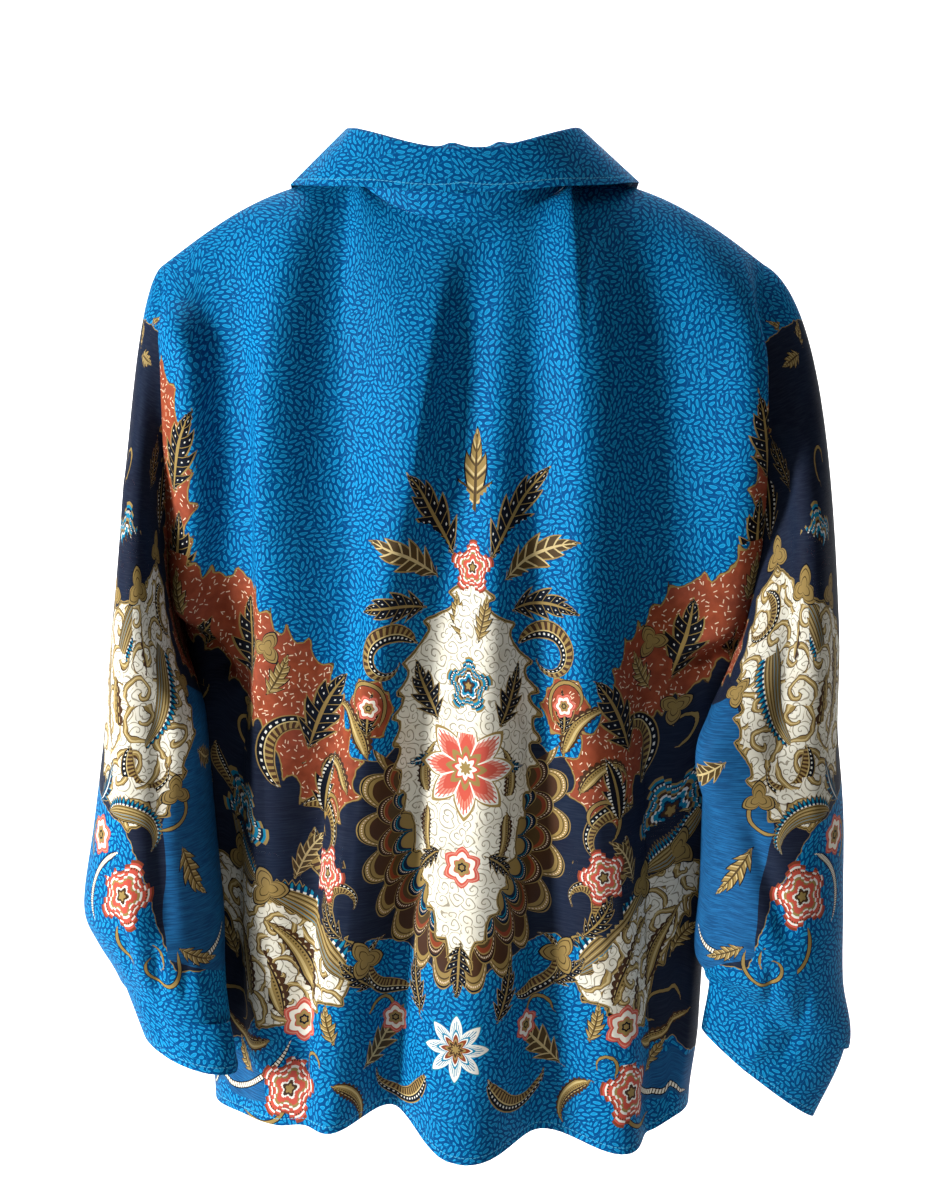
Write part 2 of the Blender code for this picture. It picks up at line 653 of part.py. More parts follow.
def build_shirt():
    back = torso_panel(BACK_FOLDS, BACK_STEPS, front=False, side=0)
    front_left = torso_panel(FRONT_FOLDS, FRONT_STEPS, front=True, side=1)
    front_right = torso_panel(FRONT_FOLDS, FRONT_STEPS, front=True, side=-1)

    panels = {
        "back": Panel(back, False, 1, {"first_column", "last_column", "last_row"}),
        "front_left": Panel(front_left, False, -1, {"first_column", "last_row"}),
        "front_right": Panel(front_right, False, 1, {"first_column", "last_row"}),
    }

    armpit = ROWS_TO_ARMPIT
    edges = {
        "left": (back[armpit:, 0], front_left[armpit:, 0], 1),
        "right": (back[armpit:, -1], front_right[armpit:, 0], -1),
    }
    for name, (back_edge, front_edge, side) in edges.items():
        loop, angles = armhole(back_edge, front_edge)
        sleeve = sleeve_panel(name, side, loop, angles)
        cuff = cuff_panel(name, side, angles)
        ends = {"first_row", "last_row"}
        panels[f"sleeve_{name}"] = Panel(sleeve, True, -side, ends)
        panels[f"cuff_{name}"] = Panel(cuff, True, -side, {"first_row"})

    shoulder = sum(BACK_STEPS[:3])
    neck_back = back[-1, shoulder : -shoulder]
    neck_left = front_left[-1, sum(FRONT_STEPS[:3]) : -1]
    neck_right = front_right[-1, sum(FRONT_STEPS[:3]) : -1]
    neck = np.concatenate([neck_left[::-1], neck_back[1:-1], neck_right])
    panels["collar"] = Panel(collar_panel(neck), False, 1, {"first_row"})

    cloth = new_material("batik_cloth", BLUE, 0.55)
    sleeve_cloth = new_material("batik_sleeve_cloth", NAVY, 0.55)
    buttons = new_material("button", BUTTON_BLUE, 0.3)
    normals = shared_normals(panels)
    for name, panel in panels.items():
        material = sleeve_cloth if name.startswith("sleeve") else cloth
        place(name, wall_mesh(name, panel, normals[name]), material)
    add_buttons(panels, buttons)


for old in list(bpy.data.objects):
    bpy.data.objects.remove(old)
build_shirt()
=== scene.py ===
"""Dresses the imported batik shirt: thin printed cloth with its folds and top-stitching, and its buttons.

Metres, in the frame's own axes: +Z up, the wearer's front -Y, the wearer's left +X. Every cloth piece is
a grid of points on the garment's outer face, the same surfaces as its solids but finer, with soft
creases added, and becomes a thin closed shell. Its print is drawn in flat coordinates: u across the cut
piece from its middle line, v up it from the armpit's level.
"""

import json
import math
from collections import namedtuple
from functools import partialmethod

import bpy
import numpy as np
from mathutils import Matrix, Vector

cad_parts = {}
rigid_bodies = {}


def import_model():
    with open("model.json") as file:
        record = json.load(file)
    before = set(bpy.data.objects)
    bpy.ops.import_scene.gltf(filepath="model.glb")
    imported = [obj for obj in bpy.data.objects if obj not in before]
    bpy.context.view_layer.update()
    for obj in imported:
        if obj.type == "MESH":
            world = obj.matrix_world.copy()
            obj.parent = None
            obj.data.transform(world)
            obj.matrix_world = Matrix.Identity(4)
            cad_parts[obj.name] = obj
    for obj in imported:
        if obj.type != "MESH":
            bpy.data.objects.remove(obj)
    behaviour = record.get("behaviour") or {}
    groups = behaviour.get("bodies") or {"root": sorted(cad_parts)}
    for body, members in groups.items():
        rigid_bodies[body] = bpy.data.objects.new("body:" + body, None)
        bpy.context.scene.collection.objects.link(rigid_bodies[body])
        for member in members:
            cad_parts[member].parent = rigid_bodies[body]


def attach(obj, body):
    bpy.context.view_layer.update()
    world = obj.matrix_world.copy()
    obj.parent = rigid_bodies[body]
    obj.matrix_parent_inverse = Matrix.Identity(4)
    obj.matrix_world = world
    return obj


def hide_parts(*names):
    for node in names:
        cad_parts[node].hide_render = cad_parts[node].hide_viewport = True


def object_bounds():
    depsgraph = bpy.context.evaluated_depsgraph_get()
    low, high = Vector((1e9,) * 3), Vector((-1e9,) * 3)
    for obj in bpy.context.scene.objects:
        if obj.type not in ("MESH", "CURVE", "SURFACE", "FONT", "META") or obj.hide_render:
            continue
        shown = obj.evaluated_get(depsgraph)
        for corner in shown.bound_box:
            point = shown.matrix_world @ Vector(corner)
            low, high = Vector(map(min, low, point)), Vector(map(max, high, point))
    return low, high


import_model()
cad_low, cad_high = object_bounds()

TAU = 2 * math.pi
CLOTH_THICK = 0.0009

# How much finer each piece's grid is than its solid's
BODY_ROWS_FINER = 10
COLUMNS_FINER = 4
SLEEVE_ROWS_FINER = 6
CUFF_ROWS_FINER = 8
COLLAR_FINER = (5, 4, 7)

# ---------------------------------------------------------------- the body's shape

UNDERLAP_DROP = 0.0026
HEM_Z = -0.720
ARMPIT_Z = -0.335
SECTION_TOP_Z = -0.095
SHOULDER_HALF = 0.225
SHOULDER_DROP = 0.067
SHOULDER_CROWN = 0.013
NECK_HALF = 0.083
NECK_BACK_DEPTH = 0.060
NECK_FRONT_DEPTH = 0.066
NECK_BACK_DROP = 0.030
NECK_FRONT_DROP = 0.086
ARMPIT_ROW = 0.55
SHOULDER_ROW = 0.80
ROWS_TO_ARMPIT = 13 * BODY_ROWS_FINER
ROWS_TO_SEAM = 11 * BODY_ROWS_FINER
BACK_ARMHOLE_CUT = 24.0
FRONT_ARMHOLE_CUT = 31.0
ARMHOLE_BOTTOM = 4.0
SEAM_ROUNDING_FROM = 0.25
CENTRE_LAP = 0.016
UNDERLAP_EASE = 0.0005
COLLAR_END = 0.003
FACING_EDGE = 0.030
SQUARENESS = 2.5

Section = namedtuple("Section", "height half_width back_depth front_depth sway")
TORSO = [
    Section(HEM_Z, 0.189, 0.104, 0.098, 0.007),
    Section(-0.610, 0.192, 0.106, 0.098, 0.006),
    Section(-0.475, 0.197, 0.108, 0.100, 0.004),
    Section(ARMPIT_Z, 0.210, 0.110, 0.103, 0.002),
    Section(-0.215, 0.229, 0.108, 0.098, 0.000),
    Section(SECTION_TOP_Z, 0.240, 0.098, 0.088, -0.003),
]
Fold = namedtuple(
    "Fold",
    "seam_x chest_x blade_x waist_x hem_x chest_out blade_out waist_out hem_out hem_dip",
)
FOLD_X_HEIGHTS = (-0.060, -0.176, -0.310, -0.500, HEM_Z)
FOLD_OUT_HEIGHTS = (-0.176, -0.310, -0.500, HEM_Z)
BACK_FOLDS = [
    Fold(0.186, 0.163, 0.162, 0.165, 0.166, -0.015, -0.015, -0.007, -0.002, 0.002),
    Fold(0.118, 0.143, 0.142, 0.138, 0.132, 0.004, 0.006, 0.007, 0.007, 0.000),
    Fold(NECK_HALF, 0.090, 0.083, 0.104, 0.112, -0.024, -0.018, -0.012, 0.006, -0.003),
    Fold(0.016, 0.031, 0.056, 0.074, 0.092, 0.008, 0.006, 0.015, 0.016, -0.002),
    Fold(-0.0135, 0.001, 0.0145, 0.032, 0.048, -0.016, -0.017, -0.016, -0.022, -0.013),
    Fold(-0.032, -0.027, -0.024, -0.018, -0.011, -0.006, 0.004, 0.015, 0.026, 0.016),
    Fold(-0.054, -0.055, -0.055, -0.062, -0.071, -0.014, -0.014, -0.014, -0.015, 0.005),
    Fold(-NECK_HALF, -0.089, -0.091, -0.106, -0.128, 0.008, 0.010, 0.016, 0.020, 0.018),
    Fold(-0.118, -0.144, -0.146, -0.150, -0.157, -0.013, -0.012, -0.009, -0.004, 0.015),
    Fold(-0.196, -0.205, -0.202, -0.184, -0.174, 0.024, 0.021, 0.008, 0.004, 0.006),
]
SIDE_DIPS = (0.007, 0.006)
BACK_STEPS = (4, 4, 4, 3, 3, 3, 3, 3, 4, 4, 4)
FRONT_FOLDS = [
    Fold(0.196, 0.184, 0.178, 0.174, 0.168, -0.005, -0.007, -0.007, -0.006, 0.008),
    Fold(0.118, 0.138, 0.140, 0.142, 0.142, 0.007, 0.009, 0.010, 0.012, 0.012),
    Fold(NECK_HALF, 0.094, 0.098, 0.104, 0.108, -0.006, -0.009, -0.011, -0.014, -0.004),
    Fold(0.060, 0.056, 0.060, 0.066, 0.072, 0.003, 0.005, 0.008, 0.010, 0.007),
]
# the flat facing: the same x at every height, and no folds
FRONT_FOLDS += [Fold(x, x, x, x, x, 0, 0, 0, 0, 0.002) for x in (FACING_EDGE, COLLAR_END, -CENTRE_LAP)]
FRONT_STEPS = (4, 4, 4, 3, 3, 2, 1)

# Sleeves, cuffs and collar
Ring = namedtuple("Ring", "x y z half_width half_depth tilt")
SLEEVE_RINGS = {
    "left": [
        Ring(0.2345, 0.054, -0.405, 0.0375, 0.076, 2),
        Ring(0.2360, 0.066, -0.480, 0.0450, 0.070, 0),
        Ring(0.2375, 0.072, -0.545, 0.0515, 0.062, -4),
        Ring(0.2330, 0.077, -0.583, 0.0490, 0.052, -12),
        Ring(0.2235, 0.081, -0.616, 0.0435, 0.044, -15),
        Ring(0.2105, 0.086, -0.656, 0.0385, 0.040, -13),
    ],
    "right": [
        Ring(0.2410, 0.054, -0.405, 0.0480, 0.076, 0),
        Ring(0.2410, 0.070, -0.470, 0.0525, 0.070, 0),
        Ring(0.2405, 0.078, -0.535, 0.0530, 0.062, 2),
        Ring(0.2400, 0.078, -0.592, 0.0555, 0.052, 12),
        Ring(0.2480, 0.074, -0.632, 0.0595, 0.034, 27),
        Ring(0.2345, 0.070, -0.684, 0.0570, 0.024, 39),
    ],
}
Cap = namedtuple("Cap", "leave_tip leave_armpit fall_tip fall_armpit lean")
CAPS = {"left": Cap(0.030, 0.014, 0.134, 0.024, 0.18), "right": Cap(0.060, 0.014, 0.134, 0.024, 0.06)}
CAP_LEAVES_BACK = 0.30
CAP_LEAVES_DOWN = 0.52
CAP_ROWS = 7 * SLEEVE_ROWS_FINER
ARM_ROWS = 11 * SLEEVE_ROWS_FINER
CUFF_ROWS = 3 * CUFF_ROWS_FINER
CUFF_FROM = 0.80
SLEEVE_FULLNESS = 1.06
Pouch = namedtuple("Pouch", "angle along angle_spread along_spread inward back")
POUCHES = {
    "left": Pouch(140, 0.36, 34, 0.10, 0.006, 0.012),
    "right": Pouch(132, 0.41, 30, 0.12, 0.028, 0.020),
}
CollarStation = namedtuple("CollarStation", "share stand lean fall flare_left flare_right spread")
COLLAR = [
    CollarStation(0.00, 0.051, 0.003, 0.029, 20, 20, 0.00),
    CollarStation(0.22, 0.0445, 0.002, 0.037, 27, 29, 0.00),
    CollarStation(0.45, 0.030, 0.001, 0.058, 46, 48, 0.00),
    CollarStation(0.70, 0.025, -0.001, 0.062, 47, 44, 0.10),
    CollarStation(1.00, 0.024, -0.001, 0.070, 36, 36, 0.55),
]
COLLAR_STAND_ROWS, COLLAR_ROLL_ROWS, COLLAR_FALL_ROWS = (
    n * finer for n, finer in zip((3, 3, 4), COLLAR_FINER)
)
COLLAR_ROLL = 0.0032


def smooth(values, knots, at):
    """A curve through the values at the knots, by cubic pieces whose slopes are the averages there."""
    knots, values = np.asarray(knots, float), np.asarray(values, float)
    if knots[0] > knots[-1]:
        knots, values = knots[::-1], values[::-1]
    rises = np.diff(values) / np.diff(knots)
    slopes = np.concatenate([rises[:1], (rises[1:] + rises[:-1]) / 2, rises[-1:]])
    at = np.clip(at, knots[0], knots[-1])
    i = np.clip(np.searchsorted(knots, at, side="right") - 1, 0, len(knots) - 2)
    step = knots[i + 1] - knots[i]
    t = (at - knots[i]) / step
    return (
        values[i] * (2 * t**3 - 3 * t**2 + 1)
        + slopes[i] * step * (t**3 - 2 * t**2 + t)
        + values[i + 1] * (3 * t**2 - 2 * t**3)
        + slopes[i + 1] * step * (t**3 - t**2)
    )


def column(table, name):
    return [getattr(row, name) for row in table]


def ease(t):
    """0 to 1 with level ends: 3t^2 - 2t^3."""
    t = np.clip(t, 0, 1)
    return t * t * (3 - 2 * t)


def unit(vectors):
    return vectors / np.maximum(np.linalg.norm(vectors, axis=-1, keepdims=True), 1e-12)


def body_rows():
    """Shares from hem to seam, one for each row of the body's panels."""
    below = np.linspace(0, ARMPIT_ROW, ROWS_TO_ARMPIT + 1)
    above = np.linspace(ARMPIT_ROW, 1, ROWS_TO_SEAM + 1)
    return np.concatenate([below, above[1:]])


def seam_point(x, front):
    """The neck and shoulder seams over x: a dropped ellipse round the neck, then the shoulder's slope
    with a half sine of crown."""
    neck = np.clip(x / NECK_HALF, -1, 1)
    across = np.sqrt(1 - neck**2)
    drop = NECK_FRONT_DROP if front else NECK_BACK_DROP
    depth = -NECK_FRONT_DEPTH if front else NECK_BACK_DEPTH
    along = np.clip((np.abs(x) - NECK_HALF) / (SHOULDER_HALF - NECK_HALF), 0, 1)
    crown = SHOULDER_CROWN * np.sin(math.pi * along)
    z = -drop * across**2 - SHOULDER_DROP * along + crown
    return np.stack([x, depth * across, z], axis=-1)


def columns_of(steps):
    """Column places in fold-line units: whole numbers are the lines themselves."""
    parts = [i + np.arange(n) / n for i, n in enumerate(steps)]
    return np.concatenate(parts + [[len(steps)]])


def between_lines(lines, at, wave):
    """Values at fold lines (rows, lines) read at column places, straight or as half waves."""
    i = np.minimum(at.astype(int), lines.shape[1] - 2)
    t = at - i
    if wave:
        t = (1 - np.cos(math.pi * t)) / 2
    return lines[:, i] * (1 - t) + lines[:, i + 1] * t


def fold_lines(folds, names, heights, at):
    """The fold table's named columns read at the rows' heights, one column for each fold line."""
    lines = [smooth([getattr(f, n) for n in names], heights, at) for f in folds]
    return np.concatenate(lines, axis=1)


def torso_panel(folds, steps, front, side):
    """One body panel, rows from the hem up and columns from side to side: arcs of a squarish oval moved
    in and out by the folds, which above the shoulder row round over as quarter ellipses to the seam."""
    share = body_rows()[:, None]
    section_z = np.interp(share, [0, ARMPIT_ROW, 1], [HEM_Z, ARMPIT_Z, SECTION_TOP_Z])
    heights = column(TORSO, "height")
    names = ("half_width", "front_depth" if front else "back_depth", "sway")
    width, depth, sway = (smooth(column(TORSO, name), heights, section_z) for name in names)
    line_x = fold_lines(folds, Fold._fields[:5], FOLD_X_HEIGHTS, section_z)
    line_out = fold_lines(folds, Fold._fields[5:9], FOLD_OUT_HEIGHTS, section_z)
    line_dip = np.array([column(folds, "hem_dip")])
    cut = math.radians(FRONT_ARMHOLE_CUT if front else BACK_ARMHOLE_CUT)
    up = np.clip((share - ARMPIT_ROW) / (1 - ARMPIT_ROW), 0, 1)
    edge = math.pi / 2 - cut * (1 - (1 - up) ** ARMHOLE_BOTTOM)
    across = np.clip(line_x / width, -0.999, 0.999)
    line_angle = np.arcsin(np.sign(across) * np.abs(across) ** (SQUARENESS / 2))
    level = np.zeros_like(edge)
    angles = [edge, line_angle]
    outs = [level, line_out]
    seams = [SHOULDER_HALF] + column(folds, "seam_x")
    dips = [[[SIDE_DIPS[0 if side >= 0 else 1]]], line_dip]
    if not side:
        angles.append(-edge)
        outs.append(level)
        seams.append(-SHOULDER_HALF)
        dips.append([[SIDE_DIPS[1]]])

    at = columns_of(steps)
    angle = between_lines(np.concatenate(angles, axis=1), at, wave=False)
    out = between_lines(np.concatenate(outs, axis=1), at, wave=True)
    dip = between_lines(np.concatenate(dips, axis=1), at, wave=True)
    dip = dip * (1 - np.clip(share / ARMPIT_ROW, 0, 1)) ** 2
    facing = -1 if front else 1
    turn = np.clip((share - SHOULDER_ROW) / (1 - SHOULDER_ROW), 0, 1)
    shoulder_z = np.interp(SHOULDER_ROW, [ARMPIT_ROW, 1], [ARMPIT_Z, SECTION_TOP_Z])
    level_z = np.minimum(section_z, shoulder_z)
    right_way = np.sign(np.sin(angle))
    across = np.abs(np.sin(angle)) ** (2 / SQUARENESS) * right_way
    through = np.abs(np.cos(angle)) ** (2 / SQUARENESS) * facing
    section = np.stack([width * across, depth * through, level_z - dip], axis=-1)
    steep = SQUARENESS - 1
    aside = np.abs(across) ** steep * right_way / width
    away = np.abs(through) ** steep * facing / depth
    outward = unit(np.stack([aside, away, 0 * angle], axis=-1))
    section = section + outward * out[..., None]

    seam_x = np.interp(at, np.arange(len(seams)), seams)
    seam = seam_point(seam_x, front)[None]
    rounded_from = SEAM_ROUNDING_FROM * NECK_HALF
    rounding = ease((np.abs(seam_x) - rounded_from) / (NECK_HALF - rounded_from))[None]
    rise = (1 - rounding) * turn + rounding * np.sin(turn * math.pi / 2)
    close = (1 - rounding) * turn**2 + rounding * (1 - np.cos(turn * math.pi / 2))
    weight = np.stack([close, close, rise], axis=-1)
    grid = section * (1 - weight) + seam * weight

    if side < 0:  # the right front is the left mirrored, and lies under it at the centre
        lap = (FACING_EDGE - grid[..., 0]) / (FACING_EDGE - CENTRE_LAP - UNDERLAP_EASE)
        grid = grid - outward * (np.clip(lap, 0, 1) * UNDERLAP_DROP)[..., None]
        grid[..., 0] *= -1
    grid[..., 0] += sway
    return grid


def arc_shares(points):
    """How far along a line of points each lies, from 0 to 1."""
    steps = np.linalg.norm(np.diff(points, axis=0), axis=1)
    along = np.concatenate([[0], np.cumsum(steps)])
    return along / along[-1]


def armhole(back_edge, front_edge):
    """The armhole's open loop from the armpit up the front, over the shoulder tip and down the back to
    the armpit again, and each point's angle round the sleeve, from -pi to pi."""
    up, down = front_edge, back_edge[::-1]
    loop = np.concatenate([up, down[1:]])
    angles = np.concatenate([(arc_shares(up) - 1) * math.pi, arc_shares(down)[1:] * math.pi])
    return loop, angles


def sleeve_ring(rings, at, angles, side):
    """Rows round the sleeve: ellipses about the arm's line, each leaning with its ring's tilt."""
    knots = np.linspace(0, 1, len(rings))
    read = (smooth(column(rings, name), knots, at)[:, None] for name in Ring._fields)
    x, y, z, wide, deep, tilt = read
    tilt = np.radians(tilt)
    across, through = wide * np.cos(angles), deep * np.sin(angles)
    x = side * (x + across * np.cos(tilt))
    return np.stack([x, y + through, z - across * np.sin(tilt)], axis=-1)


def sleeve_panel(name, side, loop, angles):
    """The sleeve, rows from the armhole to the cuff's seam: the cap is a cubic curve for each point of
    the armhole, which leaves it outward and comes down onto the first ring, and the arm is the rings."""
    rings = SLEEVE_RINGS[name]
    first = sleeve_ring(rings, np.array([0.0]), angles, side)[0]
    over, back = np.cos(angles), np.sin(angles)
    shape = CAPS[name]
    top = (over + 1) / 2
    down = -CAP_LEAVES_DOWN * np.maximum(over, 0)
    leave = np.stack([side + 0 * over, CAP_LEAVES_BACK * back, down], axis=-1)
    leave = unit(leave) * (shape.leave_armpit + (shape.leave_tip - shape.leave_armpit) * top)[:, None]
    fall = np.stack([-shape.lean * side * top, 0 * top, 1 + 0 * top], axis=-1)
    fall = unit(fall) * (shape.fall_armpit + (shape.fall_tip - shape.fall_armpit) * top)[:, None]
    t = np.linspace(0, 1, CAP_ROWS + 1)[:, None, None]
    cap = (
        loop * (1 - t) ** 3
        + 3 * (loop + leave) * t * (1 - t) ** 2
        + 3 * (first + fall) * t**2 * (1 - t)
        + first * t**3
    )
    at = np.linspace(0, CUFF_FROM, ARM_ROWS + 1)[1:]
    full = 1 + (SLEEVE_FULLNESS - 1) * ease(at / CUFF_FROM)
    arm = sleeve_ring(rings, at, angles, side)
    middle = arm[:, :-1].mean(axis=1, keepdims=True)
    arm = middle + (arm - middle) * full[:, None, None]
    grid = np.concatenate([cap, arm])

    pouch = POUCHES[name]
    along = np.linspace(0, 1, len(grid))[:, None]
    turned = np.degrees(angles)[None] % 360
    off_angle = (turned - pouch.angle) / pouch.angle_spread
    off_along = (along - pouch.along) / pouch.along_spread
    swell = np.exp(-(off_angle**2) - off_along**2)
    move = np.array([-side * pouch.inward, pouch.back, 0])
    return grid + move * swell[..., None]


def cuff_panel(name, side, angles):
    """The cuff, rows from its seam to its lower edge, which are the sleeve's last rings."""
    at = np.linspace(CUFF_FROM, 1, CUFF_ROWS + 1)
    return sleeve_ring(SLEEVE_RINGS[name], at, angles, side)


def collar_panel(neck):
    """The collar on the neck seam's points: straight up the stand, round the roll and straight down the
    fall, in planes that stand out from the neck. The fall spreads back round the neck at its ends."""
    middle = len(neck) // 2
    around = arc_shares(neck) * 2 - 1
    share = np.abs(around)
    knots = column(COLLAR, "share")
    stand, lean, fall, flare_left, flare_right, spread = (
        smooth(column(COLLAR, name), knots, share) for name in CollarStation._fields[1:]
    )
    flare = np.radians(np.where(around < 0, flare_left, flare_right))
    tangent = unit(np.gradient(neck, axis=0) * [1, 1, 0])
    out = np.stack([tangent[:, 1], -tangent[:, 0], 0 * share], axis=-1)
    out = out * np.sign(out[middle, 1])
    back_round = -tangent * np.sign(around)[:, None]
    up = np.array([0.0, 0.0, 1.0])

    def at(sideways, height):
        return neck + out * sideways[:, None] + up * height[:, None]

    rows = []
    for t in np.linspace(0, 1, COLLAR_STAND_ROWS + 1):
        rows.append(at(-lean * t, stand * t))
    for t in np.linspace(0, 1, COLLAR_ROLL_ROWS + 1)[1:]:
        turn = t * (math.pi - flare)
        over = -lean + COLLAR_ROLL * (1 - np.cos(turn))
        rows.append(at(over, stand + COLLAR_ROLL * np.sin(turn)))
    direction = out * np.sin(flare)[:, None] - up * np.cos(flare)[:, None]
    direction = unit(direction + back_round * spread[:, None])
    start = rows[-1]
    for t in np.linspace(0, 1, COLLAR_FALL_ROWS + 1)[1:]:
        rows.append(start + direction * (fall * t)[:, None])
    return np.stack(rows)


# ---------------------------------------------------------------- creases

MM = 1000.0  # in a metre


def points(text):
    """Places in metres from a list such as "12,-34 56,78" in millimetres."""
    return [tuple(float(n) / MM for n in place.split(",")) for place in text.split()]


Crease = namedtuple("Crease", "pieces move width line")


def crease(pieces, move, width, line):
    """A soft ridge (+) or trough (-) on the back of the named pieces, in millimetres: how far the cloth
    moves, how wide the crease is, and the (x, z) points of its line."""
    return Crease(pieces.split(), move / MM, width / MM, points(line))


CREASES = [
    # the collar's dents
    crease("collar", -3.5, 7, "6,30 4,10"),
    crease("collar", -3, 6, "-28,36 -30,18"),
    # the neck seam sinks under the collar
    crease("back", -2.2, 4.5, "62,-16 -6,-10 -80,-6"),
    # the cloth stands up along the back of each armhole
    crease("back sleeve_left", 10, 14, "210,-85 206,-200 203,-330"),
    crease("back", 17, 13, "204,-90 194,-135 191,-230 193,-345"),
    crease("back sleeve_right", 7, 17, "-214,-90 -210,-250 -200,-360"),
    # slanting folds under the arms, and the hollows below them
    crease("back", 7, 9, "201,-298 180,-330 157,-366"),
    crease("back", -12, 9, "198,-338 174,-371"),
    crease("back", -9, 8, "-214,-342 -178,-358"),
    crease("back", 6, 8, "-206,-326 -166,-344 -140,-392"),
    # the body's left side hangs in one roll beside the sleeve
    crease("back", 6, 9, "192,-384 192,-500 186,-620"),
    crease("back", -5, 9, "176,-430 174,-560 168,-680"),
    # the sleeves' long soft folds
    crease("sleeve_left", 5, 10, "238,-200 246,-330 252,-460"),
    crease("sleeve_left", -6, 10, "222,-360 226,-470 222,-560"),
    crease("sleeve_left", 4, 9, "252,-500 240,-600"),
    crease("sleeve_right", -6, 10, "-236,-200 -240,-330 -236,-420"),
    crease("sleeve_right", 5, 11, "-256,-220 -262,-360 -268,-480"),
    crease("sleeve_right", -7, 9, "-214,-460 -232,-510 -252,-560"),
    # gathers run up from the cuffs' seams
    crease("sleeve_left", -4, 5, "250,-590 253,-545"),
    crease("sleeve_left", -4, 5, "229,-602 232,-560"),
    crease("sleeve_left", -3, 5, "208,-606 208,-572"),
    crease("cuff_left", 8, 14, "186,-606 180,-655"),
    crease("cuff_left", -3, 7, "236,-600 228,-645"),
    crease("sleeve_right", -4, 5, "-236,-616 -236,-575"),
    crease("sleeve_right", -4, 5, "-262,-630 -262,-590"),
    crease("cuff_right", -3, 6, "-262,-628 -250,-664"),
    crease("cuff_right", 4, 9, "-238,-628 -226,-666"),
]
CREASE_FADE = 3.5  # widths over which a crease rises from nothing at each end
# How far the body's sides stand out under the arms, and the sleeves hang in towards them
SIDE_SWELL = 0.004
SLEEVE_INWARD = 0.004
# How much each arm's lower end is turned about, as depth over width from its centre
CUFF_TURNS = {"left": -0.45, "right": 0.0}
CUFF_TURN_FROM, CUFF_CENTRE = -0.540, 0.220
# The heights over which the armpit's, the hem's and the cuff's moves grow
ARMPIT_EASE, HEM_EASE, CUFF_TURN_EASE = 0.09, 0.06, 0.07
SIDE_FROM = 0.45  # how far a face points sideways before it counts as a side
TURNS_TO_FACE = 2.5  # how quickly a face comes to count as turned that way
FAR = 9.0  # a distance that means there is none of it here


def segment_distance(a, b, start, end):
    """Distance from points (a, b) to a straight segment, how far along it the nearest point is (0 to 1),
    and which side the points lie on."""
    run_a, run_b = end[0] - start[0], end[1] - start[1]
    length = math.hypot(run_a, run_b)
    along = ((a - start[0]) * run_a + (b - start[1]) * run_b) / length**2
    held = np.clip(along, 0, 1)
    off = np.hypot(a - start[0] - held * run_a, b - start[1] - held * run_b)
    aside = ((b - start[1]) * run_a - (a - start[0]) * run_b) / length
    return off, held, aside


def crease_moves(name, grid, normals):
    """How far each point moves along its normal: a bell curve of its distance to each crease's line,
    which rises and fades over the line's ends."""
    move = np.zeros(grid.shape[:2])
    facing = ease(normals[..., 1] * TURNS_TO_FACE)
    for fold in CREASES:
        if name not in fold.pieces:
            continue
        off, at, before = np.full(move.shape, FAR), 0 * move, 0.0
        for start, end in zip(fold.line[:-1], fold.line[1:]):
            length = math.hypot(end[0] - start[0], end[1] - start[1])
            to_line, held, _ = segment_distance(grid[..., 0], grid[..., 2], start, end)
            at = np.where(to_line < off, before + held * length, at)
            off = np.minimum(off, to_line)
            before += length
        fading = min(CREASE_FADE * fold.width, before / 2)
        ends = ease((at + fold.width) / fading) * ease((before - at + fold.width) / fading)
        move += fold.move * np.exp(-((off / fold.width) ** 2)) * facing * ends
    return move


def side_moves(name, grid, normals):
    """Out along the normals at the body's sides, and in towards the body on the arms, both growing
    below the armpit."""
    x, z = grid[..., 0], grid[..., 2]
    below = ease((ARMPIT_Z - z) / ARMPIT_EASE)
    if name == "back" or name.startswith("front"):
        side = ease((np.abs(normals[..., 0]) - SIDE_FROM) * TURNS_TO_FACE)
        return normals * (SIDE_SWELL * below * side * ease((z - HEM_Z) / HEM_EASE))[..., None]
    if name == "collar":
        return 0 * grid
    inward = -np.sign(x) * SLEEVE_INWARD * below
    turned = CUFF_TURNS[name.split("_")[1]] * ease((CUFF_TURN_FROM - z) / CUFF_TURN_EASE)
    through = turned * (np.abs(x) - CUFF_CENTRE)
    return np.stack([inward, through, 0 * inward], axis=-1)


# ---------------------------------------------------------------- panels

Panel = namedtuple("Panel", "grid closed outward_sign")


def grid_normals(grid, closed):
    """Normals of a grid of points, from the differences along its rows and columns."""
    down = np.gradient(grid, axis=0)
    if closed:
        wide = np.concatenate([grid[:, -2:-1], grid, grid[:, 1:2]], axis=1)
        across = np.gradient(wide, axis=1)[:, 1:-1]
    else:
        across = np.gradient(grid, axis=1)
    return unit(np.cross(across, down))


def shared_normals(panels):
    """Each panel's normals, averaged over all the points that coincide across the seams."""
    normals = [grid_normals(p.grid, p.closed) * p.outward_sign for p in panels.values()]
    places = np.concatenate([p.grid.reshape(-1, 3) for p in panels.values()])
    flat = np.concatenate([n.reshape(-1, 3) for n in normals])
    _, index = np.unique(np.round(places, 6), axis=0, return_inverse=True)
    index = index.reshape(-1)
    total = np.zeros((index.max() + 1, 3))
    np.add.at(total, index, flat)
    flat = unit(total)[index]
    shared, start = {}, 0
    for name, panel in panels.items():
        count = panel.grid[..., 0].size
        shared[name] = flat[start : start + count].reshape(panel.grid.shape)
        start += count
    return shared


